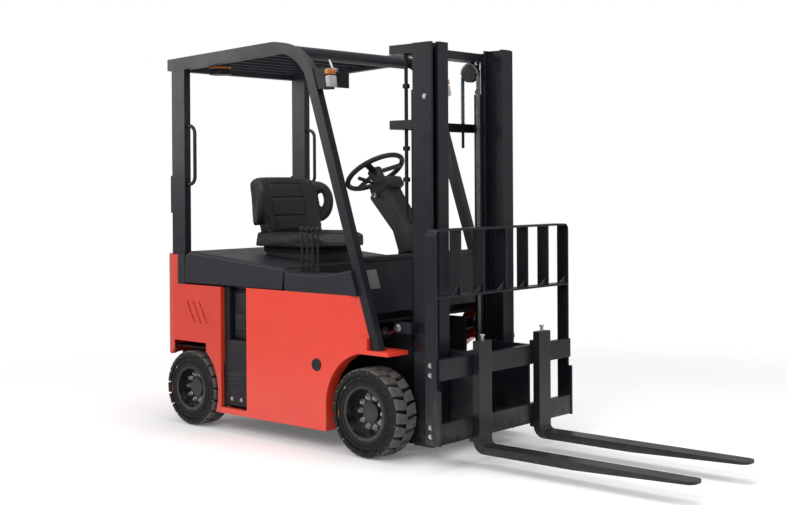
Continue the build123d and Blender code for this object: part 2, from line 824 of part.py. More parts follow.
def slat_top(x):
    """Height of a slat's upper edge, just under the roof line."""
    return guard_rear_top + roof_rise * (x - guard_rear) - slat_drop


with BuildPart() as guard_roof:
    block(guard_rear, guard_rear + rear_rail, -guard_in, guard_in,
          guard_rear_top - guard_depth, guard_rear_top - slat_drop)
    bar_y(rail_x, rail_z, rail_r, -guard_in, guard_in)
    for k in range(slat_count):
        x = slat_x0 + k * slat_pitch
        block(x - slat_t / 2, x + slat_t / 2, -guard_in, guard_in, slat_top(x) - slat_h, slat_top(x))
save(guard_roof, "guard_roof")

with BuildPart() as grab_handles:
    for side in sides.values():
        y = side * (guard_half - guard_w / 2)
        for z in (handle_z0, handle_z1):
            block(rear_post_x1, rear_post_x1 + handle_out, y - handle_r, y + handle_r, z - handle_r, z + handle_r)
        bar_z(rear_post_x1 + handle_out, y, handle_r, handle_z0 - handle_r, handle_z1 + handle_r)
save(grab_handles, "grab_handles")

# Floor plate and the leaning front cowl with its toe board and top tube
with BuildPart() as floor_plate:
    block(deck_x0, floor_front, -pan_half, entry_in, chassis_top, floor_top)
    block(entry_x1, floor_front, entry_in, pan_half, chassis_top, floor_top)
save(floor_plate, "floor_plate")

with BuildPart() as front_cowl:
    with BuildSketch(Plane.XZ.offset(guard_in)):
        with BuildLine():
            Polyline((floor_front, floor_top), (post_face(cowl_knee) - cowl_in, cowl_knee),
                     (post_face(cowl_top) - cowl_in, cowl_top), (post_face(cowl_top) - cowl_in - cowl_t, cowl_top),
                     (post_face(cowl_knee) - cowl_in - cowl_t, cowl_knee + cowl_t / 2),
                     (floor_front, floor_top + cowl_t), close=True)
        make_face()
    extrude(amount=-2 * guard_in)
    bar_y(post_face(cowl_top) - cowl_in - cowl_t / 2, cowl_top, cowl_tube_r, -guard_in, guard_in)
save(front_cowl, "front_cowl")

# Steering column on a bracket behind the cowl, and the hand wheel on its leaning shaft
lean_in = sin(radians(wheel_lean))
lean_up = cos(radians(wheel_lean))
wheel_plane = Plane(origin=(wheel_x, 0, wheel_z), x_dir=(0, 1, 0), z_dir=(-lean_in, 0, lean_up))
with BuildPart() as steering_column:
    with BuildSketch(wheel_plane.offset(-column_top)):
        Rectangle(column_w, column_d)
    extrude(amount=-(column_len - column_top))
    with BuildSketch(Plane.XZ.offset(bracket_half)):
        with BuildLine():
            Polyline((post_face(cowl_top) - cowl_in - cowl_t, cowl_top - cowl_tube_r - run_gap),
                     (post_face(bracket_low) - cowl_in - cowl_t, bracket_low),
                     (post_face(bracket_low) - cowl_in - cowl_t - bracket_run, bracket_low),
                     (wheel_x + lean_in * column_len - bracket_run, wheel_z - lean_up * column_len),
                     (wheel_x + lean_in * column_len, wheel_z - lean_up * column_len + cowl_t), close=True)
        make_face()
    extrude(amount=-2 * bracket_half)
    with BuildSketch(Plane.XZ.offset(cover_half)):
        with BuildLine():
            Polyline((cover_x0, cover_z0), (cover_x1, cover_z1), (cover_x2, cover_z1), (cover_x3, cover_z3),
                     (cover_x4, cover_z4), (cover_x5, cover_z5), (cover_x6, cover_z6), (cover_x7, cover_z7), close=True)
        make_face()
    extrude(amount=-2 * cover_half)
    bar_y(post_face(cowl_top) - cowl_in - cowl_t / 2, cowl_top, cowl_tube_r, -guard_in, guard_in, Mode.SUBTRACT)
save(steering_column, "steering_column")

with BuildPart() as steering_wheel:
    with Locations(wheel_plane.location):
        Torus(wheel_r, wheel_grip)
    with BuildSketch(wheel_plane.offset(-column_top + seat_gap)):
        Circle(hub_grip)
    extrude(amount=column_top - seat_gap)
    with BuildSketch(wheel_plane.offset(-spoke_t)):
        with PolarLocations(0, spoke_count, spoke_turn):
            with Locations((wheel_r / 2, 0)):
                Rectangle(wheel_r, spoke_w)
    extrude(amount=spoke_t)
save(steering_wheel, "steering_wheel")

with BuildPart() as pedals:
    for y, w in ((pedal_go_y, pedal_go_w), (pedal_stop_y, pedal_stop_w)):
        block(pedal_x, pedal_x + pedal_t, y - pedal_arm / 2, y + pedal_arm / 2, floor_top, floor_top + pedal_h)
        block(pedal_x - pedal_t, pedal_x, y - w / 2, y + w / 2, floor_top + pedal_h / 2, floor_top + pedal_h)
save(pedals, "pedals")

# Lamps on the front posts, mirrors beside them, a beacon under the roof and the rear lamps
with BuildPart() as work_lamps:
    for side in sides.values():
        with BuildSketch(Plane.XZ.offset(-side * lamp_out)):
            with BuildLine():
                Polyline((post_face(lamp_z0), lamp_z0), (post_face(lamp_z1), lamp_z1),
                         (lamp_x1 - lamp_t, lamp_z1), (lamp_x1, lamp_z0), close=True)
            make_face()
        extrude(amount=side * (lamp_out - lamp_in))
save(work_lamps, "work_lamps")

with BuildPart() as mirrors:
    for side in sides.values():
        block(mirror_x, mirror_x + mirror_t, *sorted((side * lamp_in, side * (lamp_in - mirror_w))),
              mirror_z0, mirror_z1)
save(mirrors, "mirrors")

beacon_x = slat_x0 + slat_pitch
with BuildPart() as beacon:
    bar_z(beacon_x, beacon_y, beacon_r, slat_top(beacon_x) - slat_h - beacon_h, slat_top(beacon_x) - slat_h)
save(beacon, "beacon")

with BuildPart() as rear_lamps:
    for side in sides.values():
        block(rear_post_x0 - rear_lamp_t, rear_post_x0,
              *sorted((side * (guard_in + rear_lamp_in), side * (guard_half - rear_lamp_in))), rear_lamp_z0, rear_lamp_z1)
save(rear_lamps, "rear_lamps")

# Outer mast: two channels with bowed ties behind them, foot plate, axle saddles and tilt lugs
with BuildPart() as mast_outer:
    for side in sides.values():
        block(outer_x0, outer_x1, *sorted((side * (outer_half - outer_web), side * outer_half)), mast_low, mast_top)
        block(outer_x0, outer_x0 + outer_flange, *sorted((side * outer_in, side * outer_half)), mast_low, mast_top)
        block(outer_x1 - outer_flange, outer_x1, *sorted((side * (outer_half - outer_lip), side * outer_half)),
              mast_low, mast_top)
        for z in (tie_top_z, tie_mid_z):
            block(tie_x0, outer_x0, *sorted((side * outer_in, side * outer_half)), z - tie_h / 2, z + tie_h / 2)
        block(fa, outer_x0 + outer_flange, *sorted((side * arm_in, side * (arm_in + arm_t))),
              front_r - arm_half, front_r + arm_half)
        block(outer_x0, outer_x0 + outer_flange, *sorted((side * arm_in, side * outer_half)),
              front_r - arm_half, front_r + arm_half)
        bar_y(fa, front_r, arm_r, *sorted((side * arm_in, side * (arm_in + arm_t))))
        for y0 in (tilt_y - lug_out, tilt_y + lug_out - lug_t):
            block(tilt_pin_x - tilt_eye_r, outer_x0 + lug_root, *sorted((side * y0, side * (y0 + lug_t))),
                  tilt_pin_z - tilt_eye_r, tilt_pin_z + tilt_eye_r)
        block(outer_x0 - lug_t, outer_x0 + lug_root, *sorted((side * outer_half, side * (tilt_y + lug_out))),
              tilt_pin_z - tilt_eye_r, tilt_pin_z + tilt_eye_r)
        bar_y(tilt_pin_x, tilt_pin_z, tilt_pin_r, side * tilt_y - lug_out, side * tilt_y + lug_out)
        block(tie_x1, pulley_x - pulley_r + chain_gap, *sorted((side * (pulley_y - chain_w / 2),
              side * (pulley_y + chain_w / 2))), tie_mid_z - anchor_h / 2, tie_mid_z + anchor_h / 2)
        bar_z(pulley_x - pulley_r - chain_t / 2, side * pulley_y, anchor_rod_r, tie_mid_z - anchor_rod, tie_mid_z)
    for z in (tie_top_z, tie_mid_z):
        block(tie_x0, tie_x1, -outer_half, outer_half, z - tie_h / 2, z + tie_h / 2)
    block(foot_x0, outer_x0, -outer_half, outer_half, foot_low, foot_low + foot_t)
    bar_y(fa, front_r, axle_r + seat_gap, -outer_half, outer_half, Mode.SUBTRACT)
save(mast_outer, "mast_outer")

with BuildPart() as lift_barrels:
    for side in sides.values():
        bar_z(ram_x, side * ram_y, ram_r, foot_low + foot_t, ram_top)
        bar_z(ram_x, side * ram_y, ram_rod_r + seat_gap, ram_bore_low, ram_top, Mode.SUBTRACT)
save(lift_barrels, "lift_barrels")

# Inner mast: two beams with a cross head on the rods and a tie at the foot
inner_mid = (inner_half + inner_in) / 2
with BuildPart() as mast_inner:
    for side in sides.values():
        block(inner_x0, inner_x1, *sorted((side * (inner_mid - inner_web / 2), side * (inner_mid + inner_web / 2))),
              inner_low, mast_top)
        for x0 in (inner_x0, inner_x1 - inner_flange):
            block(x0, x0 + inner_flange, *sorted((side * inner_in, side * inner_half)), inner_low, mast_top)
        block(pulley_x - bracket_w / 2, pulley_x + bracket_w / 2,
              *sorted((side * (pulley_y + pulley_w / 2), side * (pulley_y + pulley_w / 2 + bracket_t))),
              pulley_z - bracket_w / 2, cross_z0)
    block(cross_x0, inner_x0, -inner_half, inner_half, cross_z0, cross_z1)
    block(inner_x0, inner_x0 + bottom_t, -inner_in, inner_in, inner_low, inner_low + bottom_h)
save(mast_inner, "mast_inner")

with BuildPart() as lift_rods:
    for side in sides.values():
        bar_z(ram_x, side * ram_y, ram_rod_r, ram_bore_low + run_gap, cross_z0)
save(lift_rods, "lift_rods")

with BuildPart() as chain_pulleys:
    for side in sides.values():
        y0 = side * pulley_y - pulley_w / 2
        bar_y(pulley_x, pulley_z, pulley_r, y0, y0 + pulley_w)
save(chain_pulleys, "chain_pulleys")

# Chains: a run down to the anchors on the outer mast and a run down to the carriage
rear_run_x = pulley_x - pulley_r - chain_gap
front_run_x = pulley_x + pulley_r + chain_gap
with BuildPart() as chain_rear:
    for side in sides.values():
        y0 = side * pulley_y - chain_w / 2
        block(rear_run_x - chain_t, rear_run_x, y0, y0 + chain_w, tie_mid_z + anchor_h / 2, pulley_z)
save(chain_rear, "chain_rear")

with BuildPart() as chain_front:
    for side in sides.values():
        y0 = side * pulley_y - chain_w / 2
        block(front_run_x, front_run_x + chain_t, y0, y0 + chain_w, chain_low, pulley_z)
save(chain_front, "chain_front")

# The arc of chain over each pulley
with BuildPart() as chain_wrap:
    for side in sides.values():
        y0 = side * pulley_y - chain_w / 2
        bar_y(pulley_x, pulley_z, pulley_r + chain_gap + chain_t, y0, y0 + chain_w)
    bar_y(pulley_x, pulley_z, pulley_r + chain_gap, -outer_half, outer_half, Mode.SUBTRACT)
    block(cross_x0 - outer_half, outer_x1, -outer_half, outer_half, mast_low, pulley_z, Mode.SUBTRACT)
save(chain_wrap, "chain_wrap")

# Carriage: two fork bars on guides with rollers in the inner mast, and the chain anchors
bar_back = bar_front - bar_t
bar_end = back_half - back_bar
carriage_top = bar_low + carriage_h
roller_x = (inner_x0 + inner_x1) / 2
roller_r = (inner_x1 - inner_x0) / 2 - inner_flange - roller_gap
with BuildPart() as carriage_frame:
    for z0 in (bar_low, carriage_top - bar_h):
        block(bar_back, bar_front, -bar_end, bar_end, z0, z0 + bar_h)
    for side in sides.values():
        block(guide_x0, bar_back, *sorted((side * guide_in, side * (guide_in + guide_t))),
              inner_low + bottom_h + run_gap, carriage_top)
        for z in (roller_low, roller_high):
            bar_y(roller_x, z, roller_r, *sorted((side * roller_in, side * roller_out)))
        block(front_run_x - chain_t / 2, guide_x0 + guide_t, *sorted((side * (pulley_y - chain_w / 2),
              side * (guide_in + guide_t))), anchor_low, chain_low)
save(carriage_frame, "carriage_frame")

# Load backrest: bent frame with flat uprights, a shelf and bolted end plates
with BuildPart() as load_backrest:
    with BuildSketch(Plane.YZ.offset(back_x0)):
        with Locations((0, (back_top + back_low_z) / 2)):
            Rectangle(2 * back_half, back_top - back_low_z)
        fillet(vertices().group_by(Axis.Y)[-1], back_corner)
        with Locations((0, (back_top - back_bar + back_low_z - run_gap) / 2)):
            Rectangle(2 * bar_end, back_top - back_bar - back_low_z + run_gap, mode=Mode.SUBTRACT)
    extrude(amount=back_x1 - back_x0)
    for k in range(1, back_bar_count - 1):
        y = -back_half + back_bar / 2 + k * (2 * back_half - back_bar) / (back_bar_count - 1)
        block(back_x0, back_x1, y - back_bar / 2, y + back_bar / 2, shelf_z, back_top - back_bar / 2)
    block(back_x0, back_x1, -back_half, back_half, shelf_z, shelf_z + back_bar)
    for side in sides.values():
        block(back_x0, end_plate_x1, *sorted((side * bar_end, side * back_half)), back_low_z, end_plate_top)
save(load_backrest, "load_backrest")

# Forks: hooked shank, rounded heel and a blade that thins to its tip
fork_back = fork_face - fork_t
blade_low = fork_blade_top - fork_blade_t
tip_x = length / 2
for side_name, side in sides.items():
    with BuildPart() as fork:
        with BuildSketch(Plane.XZ.offset(-side * fork_y + fork_w / 2)):
            with BuildLine():
                Polyline((fork_back, blade_low + fork_heel_r), (fork_back, fork_top), (fork_face, fork_top),
                         (fork_face, fork_blade_top + fork_root_r))
                ThreePointArc((fork_face, fork_blade_top + fork_root_r),
                              (fork_face + fork_root_r * bulge, fork_blade_top + fork_root_r * bulge),
                              (fork_face + fork_root_r, fork_blade_top))
                Polyline((fork_face + fork_root_r, fork_blade_top), (tip_x, fork_blade_top),
                         (tip_x, fork_blade_top - fork_tip_t), (tip_x - fork_taper, blade_low),
                         (fork_back + fork_heel_r, blade_low))
                ThreePointArc((fork_back + fork_heel_r, blade_low),
                              (fork_back + fork_heel_r * bulge, blade_low + fork_heel_r * bulge),
                              (fork_back, blade_low + fork_heel_r))
            make_face()
        extrude(amount=-fork_w)
        fillet(fork.edges().filter_by(Axis.Z).group_by(Axis.X)[-1], fork_tip_r)
        y0 = side * fork_y - fork_w / 2
        block(bar_front - hook_t, fork_back, y0, y0 + fork_w, carriage_top, carriage_top + hook_h)
        block(bar_front - hook_t, fork_back, y0, y0 + fork_w, bar_low - hook_h, bar_low)
    save(fork, f"fork_{side_name}")

with BuildPart() as fork_pins:
    for side in sides.values():
        bar_z(fork_face - fork_t / 2, side * fork_y, pin_r, fork_top, fork_top + pin_len)
save(fork_pins, "fork_pins")

# Tilt cylinders: barrels pinned to the chassis, rods pinned to the outer mast
tilt_way = (tilt_pin_x - tilt_anchor_x, 0, tilt_pin_z - tilt_anchor_z)
with BuildPart() as tilt_barrels:
    for side in sides.values():
        start = Plane(origin=(tilt_anchor_x, side * tilt_y, tilt_anchor_z), x_dir=(0, 1, 0), z_dir=tilt_way)
        bar_y(tilt_anchor_x, tilt_anchor_z, tilt_eye_r, side * tilt_y - tilt_eye_w / 2, side * tilt_y + tilt_eye_w / 2)
        with BuildSketch(start):
            Circle(tilt_rod_r)
        extrude(amount=tilt_neck)
        with BuildSketch(start.offset(tilt_neck)):
            Circle(tilt_r)
        extrude(amount=tilt_barrel - tilt_neck)
        with BuildSketch(start.offset(tilt_bore)):
            Circle(tilt_rod_r + seat_gap)
        extrude(amount=tilt_barrel, mode=Mode.SUBTRACT)
    bar_y(tilt_anchor_x, tilt_anchor_z, tilt_pin_r + seat_gap, -body_half, body_half, Mode.SUBTRACT)
save(tilt_barrels, "tilt_barrels")

with BuildPart() as tilt_rods:
    for side in sides.values():
        eye = Plane(origin=(tilt_pin_x, side * tilt_y, tilt_pin_z), x_dir=(0, 1, 0), z_dir=tilt_way)
        bar_y(tilt_pin_x, tilt_pin_z, tilt_eye_r, side * tilt_y - tilt_eye_w / 2, side * tilt_y + tilt_eye_w / 2)
        with BuildSketch(eye.offset(-tilt_rod)):
            Circle(tilt_rod_r)
        extrude(amount=tilt_rod)
    bar_y(tilt_pin_x, tilt_pin_z, tilt_pin_r + pin_play, -body_half, body_half, Mode.SUBTRACT)
save(tilt_rods, "tilt_rods")
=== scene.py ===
"""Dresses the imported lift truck: finishes, padded seat, tyres, chains, pipes, fasteners, studio."""

import json
import logging
import math
from dataclasses import dataclass
from enum import Enum
from typing import Callable, Sequence

import bmesh
import bpy
from mathutils import Matrix, Vector

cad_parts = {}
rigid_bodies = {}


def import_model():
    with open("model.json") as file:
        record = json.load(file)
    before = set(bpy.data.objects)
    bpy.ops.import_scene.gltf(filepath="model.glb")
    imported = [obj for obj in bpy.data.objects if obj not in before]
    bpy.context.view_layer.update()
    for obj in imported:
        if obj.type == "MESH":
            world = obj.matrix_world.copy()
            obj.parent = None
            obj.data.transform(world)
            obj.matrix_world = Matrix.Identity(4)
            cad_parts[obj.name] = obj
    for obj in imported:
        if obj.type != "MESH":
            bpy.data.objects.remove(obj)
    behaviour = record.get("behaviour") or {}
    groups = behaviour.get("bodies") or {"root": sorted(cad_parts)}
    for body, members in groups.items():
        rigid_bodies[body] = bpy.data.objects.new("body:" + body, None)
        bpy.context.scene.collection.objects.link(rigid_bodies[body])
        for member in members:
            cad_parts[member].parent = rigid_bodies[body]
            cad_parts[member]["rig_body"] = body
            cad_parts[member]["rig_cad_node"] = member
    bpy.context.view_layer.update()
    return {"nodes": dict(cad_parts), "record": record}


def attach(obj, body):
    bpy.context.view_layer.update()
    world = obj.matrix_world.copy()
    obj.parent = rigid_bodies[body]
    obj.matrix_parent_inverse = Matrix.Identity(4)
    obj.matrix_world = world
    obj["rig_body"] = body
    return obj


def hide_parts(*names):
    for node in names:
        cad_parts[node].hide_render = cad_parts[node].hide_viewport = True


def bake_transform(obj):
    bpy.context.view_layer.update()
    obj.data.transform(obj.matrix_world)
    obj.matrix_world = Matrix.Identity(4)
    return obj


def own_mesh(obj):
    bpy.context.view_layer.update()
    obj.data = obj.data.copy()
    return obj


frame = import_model()
LOG = logging.getLogger("truck")

Colour = tuple[float, float, float]
Point = tuple[float, float, float]
Span = tuple[float, float]
Piece = bpy.types.Object
Socket = bpy.types.NodeSocket
Test = Callable[[Vector, Vector], bool]

# Places of the main axes in the row frame, in metres
FRONT_AXLE_X = -0.016
REAR_AXLE_X = -1.392
FENDER_TOP = 0.550
SIDES: dict[str, int] = {"right": -1, "left": 1}
ACROSS: Point = (0.0, 1.0, 0.0)

# How near a point is to a plane that it counts as on, and the cosine of a face that lies flat to a direction
NEAR = 0.001
FLAT = 0.98

# The turns of a tube's right-angled bend
QUARTER = tuple(math.radians(15 * k) for k in range(7))


def side_name(side: int) -> str:
    """The name of a side: right for -1 and left for 1."""
    return "right" if side < 0 else "left"


def past(value: float, start: float) -> float:
    """How far a share has gone from start towards 1, from 0 to 1."""
    return max(0.0, value - start) / (1.0 - start)


class Graph:
    """One material's node tree, laid out by short calls."""

    def __init__(self, name: str) -> None:
        """Makes an empty material with a principled shader.

        Args:
            name: the material's name.
        """
        self.material = bpy.data.materials.new(name)
        self.material.use_nodes = True
        self.tree = self.material.node_tree
        self.shader = self.tree.nodes["Principled BSDF"]
        self.coordinates = self.tree.nodes.new("ShaderNodeTexCoord").outputs["Object"]

    def node(self, kind: str, **values: object) -> bpy.types.Node:
        """Adds a node.

        Args:
            kind: the node's type name after ShaderNode.
            values: property values, by property name.

        Returns:
            The new node.
        """
        made = self.tree.nodes.new("ShaderNode" + kind)
        for key, value in values.items():
            setattr(made, key, value)
        return made

    def link(self, source: Socket, target: Socket) -> None:
        """Joins an output socket to an input socket."""
        self.tree.links.new(source, target)

    def stretched(self, scale: Point) -> Socket:
        """Object coordinates that are stretched.

        Args:
            scale: the repeats per metre along each axis.

        Returns:
            The mapped vector.
        """
        mapping = self.node("Mapping", vector_type="TEXTURE")
        mapping.inputs["Scale"].default_value = tuple(1.0 / s for s in scale)
        self.link(self.coordinates, mapping.inputs["Vector"])
        return mapping.outputs["Vector"]

    def noise(self, scale: float, detail: float = 3.0, rough: float = 0.55,
              vector: Socket | None = None) -> Socket:
        """Cloudy noise.

        Args:
            scale: repeats per metre.
            detail: how many finer layers are added.
            rough: how strong the finer layers are.
            vector: the coordinates it reads, the object's own where None.

        Returns:
            The noise value.
        """
        texture = self.node("TexNoise")
        texture.inputs["Scale"].default_value = scale
        texture.inputs["Detail"].default_value = detail
        texture.inputs["Roughness"].default_value = rough
        self.link(vector or self.coordinates, texture.inputs["Vector"])
        return texture.outputs["Fac"]

    def cells(self, scale: float, feature: str = "F1") -> Socket:
        """Distance field of scattered cells.

        Args:
            scale: repeats per metre.
            feature: which Voronoi feature is measured.

        Returns:
            The distance value.
        """
        texture = self.node("TexVoronoi", feature=feature)
        texture.inputs["Scale"].default_value = scale
        self.link(self.coordinates, texture.inputs["Vector"])
        return texture.outputs["Distance"]

    def ramp(self, value: Socket, low: float, high: float,
             out_low: float = 0.0, out_high: float = 1.0) -> Socket:
        """Maps a value from one span to another, held at the ends.

        Args:
            value: the value that is mapped.
            low: the value that gives out_low.
            high: the value that gives out_high.
            out_low: the result at low.
            out_high: the result at high.

        Returns:
            The mapped value.
        """
        mapped = self.node("MapRange")
        for key, number in (("From Min", low), ("From Max", high), ("To Min", out_low), ("To Max", out_high)):
            mapped.inputs[key].default_value = number
        self.link(value, mapped.inputs["Value"])
        return mapped.outputs["Result"]

    def math(self, operation: str, first: Socket | float,
             second: Socket | float = 0.0) -> Socket:
        """Joins two values by a sum, product or other operation.

        Args:
            operation: the Math node's operation.
            first: a socket or a number.
            second: a socket or a number.

        Returns:
            The result.
        """
        made = self.node("Math", operation=operation)
        for index, value in enumerate((first, second)):
            if isinstance(value, (int, float)):
                made.inputs[index].default_value = value
            else:
                self.link(value, made.inputs[index])
        return made.outputs["Value"]

    def mix(self, factor: Socket, first: Socket | Colour,
            second: Socket | Colour) -> Socket:
        """Blends two colours.

        Args:
            factor: 0 gives the first colour and 1 the second.
            first: a colour or a colour socket.
            second: a colour or a colour socket.

        Returns:
            The blended colour.
        """
        made = self.node("Mix", data_type="RGBA")
        self.link(factor, made.inputs[0])
        for index, value in ((6, first), (7, second)):
            if isinstance(value, tuple):
                made.inputs[index].default_value = (*value, 1.0)
            else:
                self.link(value, made.inputs[index])
        return made.outputs[2]

    def height(self) -> Socket:
        """Height above the ground in metres."""
        split = self.node("SeparateXYZ")
        self.link(self.coordinates, split.inputs["Vector"])
        return split.outputs["Z"]

    def edges(self, radius: float) -> tuple[Socket, Socket]:
        """Finds the edges of a solid.

        Args:
            radius: how far from an edge the shading is rounded, in metres.

        Returns:
            The rounded normal, and a mask that is 1 on the edges.
        """
        bevel = self.node("Bevel", samples=4)
        bevel.inputs["Radius"].default_value = radius
        plain = self.node("NewGeometry")
        product = self.node("VectorMath", operation="DOT_PRODUCT")
        self.link(bevel.outputs["Normal"], product.inputs[0])
        self.link(plain.outputs["Normal"], product.inputs[1])
        mask = self.ramp(product.outputs["Value"], 0.995, 0.80)
        return bevel.outputs["Normal"], mask

    def bump(self, value: Socket, depth: float,
             normal: Socket | None = None) -> Socket:
        """Turns a height value into a bumped normal.

        Args:
            value: the height, from 0 to 1.
            depth: the real depth in metres.
            normal: the normal that the bump is added to.

        Returns:
            The bumped normal.
        """
        made = self.node("Bump")
        made.inputs["Distance"].default_value = depth
        self.link(value, made.inputs["Height"])
        if normal is not None:
            self.link(normal, made.inputs["Normal"])
        return made.outputs["Normal"]

    def done(self, **sockets: object) -> bpy.types.Material:
        """Fills the shader's sockets.

        Args:
            sockets: a socket to link, or a plain value to set, by the socket's name with _ for spaces.

        Returns:
            The finished material.
        """
        for key, value in sockets.items():
            target = self.shader.inputs[key.replace("_", " ")]
            if isinstance(value, Socket):
                self.link(value, target)
            elif isinstance(value, tuple) and len(value) == 3:
                target.default_value = (*value, 1.0)
            else:
                target.default_value = value
        return self.material


@dataclass(frozen=True)
class PaintFinish:
    """Satin vehicle paint: faint ripple, rounded worn edges and a little road dust low down."""

    name: str
    colour: Colour
    worn: Colour
    roughness: float = 0.34
    ripple: float = 0.00025
    ripple_scale: float = 55.0
    edge: float = 0.004
    wear: float = 0.55
    dust: Colour = (0.30, 0.26, 0.22)
    dust_top: float = 0.35
    coat: float = 0.25
    specular: float = 0.5

    def make(self) -> bpy.types.Material:
        """Builds the material."""
        g = Graph(self.name)
        normal, edge = g.edges(self.edge)
        patch = g.noise(9.0, 4.0)
        shade = g.mix(g.ramp(patch, 0.30, 0.75), self.colour, tuple(0.94 * c for c in self.colour))
        chips = g.ramp(g.noise(140.0, 4.0, 0.7), 0.50, 0.66)
        rubbed = g.math("MULTIPLY", g.math("MULTIPLY", edge, chips), self.wear)
        shade = g.mix(rubbed, shade, self.worn)
        low = g.ramp(g.height(), self.dust_top, 0.02)
        grime = g.math("MULTIPLY", g.math("MULTIPLY", low, g.ramp(g.noise(18.0, 6.0, 0.65), 0.42, 0.75)), 0.30)
        shade = g.mix(grime, shade, self.dust)
        smear = g.ramp(g.noise(6.0, 5.0, 0.6), 0.3, 0.7, self.roughness - 0.06, self.roughness + 0.10)
        rough = g.math("ADD", smear, g.math("MULTIPLY", grime, 0.6))
        return g.done(Base_Color=shade, Roughness=rough, Coat_Weight=self.coat, Coat_Roughness=0.18,
                      Specular_IOR_Level=self.specular,
                      Normal=g.bump(g.noise(self.ripple_scale, 2.0), self.ripple, normal))


@dataclass(frozen=True)
class PlasticFinish:
    """Moulded plastic with a fine leather-like grain and rubbed edges."""

    name: str
    colour: Colour
    rubbed: Colour = (0.10, 0.10, 0.105)
    roughness: float = 0.48
    grain: float = 0.00035
    grain_scale: float = 620.0
    edge: float = 0.004
    specular: float = 0.25

    def make(self) -> bpy.types.Material:
        """Builds the material."""
        g = Graph(self.name)
        normal, edge = g.edges(self.edge)
        tone = g.mix(g.ramp(g.noise(7.0, 3.0), 0.35, 0.7), self.colour, tuple(1.25 * c for c in self.colour))
        tone = g.mix(g.math("MULTIPLY", edge, 0.5), tone, self.rubbed)
        grain = g.math("ADD", g.cells(self.grain_scale), g.noise(self.grain_scale * 0.7, 2.0))
        rough = g.ramp(g.noise(11.0, 4.0), 0.3, 0.7, self.roughness - 0.05, self.roughness + 0.09)
        return g.done(Base_Color=tone, Roughness=rough, Specular_IOR_Level=self.specular,
                      Normal=g.bump(grain, self.grain, normal))


@dataclass(frozen=True)
class LeatherFinish:
    """Coated seat cover: pebble grain, soft creases and a slight sheen."""

    name: str
    colour: Colour
    roughness: float = 0.44
    grain_scale: float = 420.0

    def make(self) -> bpy.types.Material:
        """Builds the material."""
        g = Graph(self.name)
        pebble = g.cells(self.grain_scale, "SMOOTH_F1")
        crease = g.ramp(g.noise(38.0, 5.0, 0.7), 0.40, 0.62)
        tone = g.mix(crease, self.colour, tuple(1.35 * c for c in self.colour))
        rough = g.ramp(pebble, 0.1, 0.7, self.roughness + 0.10, self.roughness - 0.05)
        normal = g.bump(crease, 0.0009, g.bump(pebble, 0.0006))
        return g.done(Base_Color=tone, Roughness=rough, Normal=normal, Specular_IOR_Level=0.3)


@dataclass(frozen=True)
class RubberFinish:
    """Solid tyre rubber: dusty where it meets the road, darker and smoother on the wall."""

    name: str
    colour: Colour
    dust: Colour = (0.115, 0.108, 0.10)
    roughness: float = 0.74

    def make(self) -> bpy.types.Material:
        """Builds the material."""
        g = Graph(self.name)
        fine = g.noise(260.0, 4.0, 0.7)
        scuff = g.ramp(g.noise(34.0, 6.0, 0.7), 0.38, 0.72)
        tone = g.mix(scuff, self.colour, self.dust)
        rough = g.ramp(fine, 0.3, 0.7, self.roughness - 0.08, self.roughness + 0.12)
        return g.done(Base_Color=tone, Roughness=rough, Specular_IOR_Level=0.2, Normal=g.bump(fine, 0.0008))


@dataclass(frozen=True)
class MetalFinish:
    """Bare or plated metal with fine turning marks and oily patches."""

    name: str
    colour: Colour
    stained: Colour
    roughness: float = 0.28
    stretch: Point = (220.0, 220.0, 30.0)

    def make(self) -> bpy.types.Material:
        """Builds the material."""
        g = Graph(self.name)
        normal, edge = g.edges(0.0015)
        marks = g.noise(1.0, 3.0, 0.6, g.stretched(self.stretch))
        stain = g.ramp(g.noise(26.0, 5.0, 0.65), 0.50, 0.75)
        tone = g.mix(stain, self.colour, self.stained)
        rough = g.ramp(marks, 0.3, 0.7, self.roughness - 0.07, self.roughness + 0.14)
        return g.done(Base_Color=tone, Roughness=rough, Metallic=1.0, Normal=g.bump(marks, 0.00015, normal))


@dataclass(frozen=True)
class LensFinish:
    """Clear or tinted lamp lens with moulded ribs behind its face."""

    name: str
    colour: Colour
    roughness: float = 0.12
    rib_scale: float = 260.0

    def make(self) -> bpy.types.Material:
        """Builds the material."""
        g = Graph(self.name)
        ribs = g.cells(self.rib_scale, "F1")
        tone = g.mix(g.ramp(ribs, 0.1, 0.6), self.colour, tuple(0.6 * c for c in self.colour))
        rough = g.ramp(g.noise(40.0), 0.3, 0.7, self.roughness - 0.04, self.roughness + 0.08)
        return g.done(Base_Color=tone, Roughness=rough, Coat_Weight=0.8, Normal=g.bump(ribs, 0.0012))


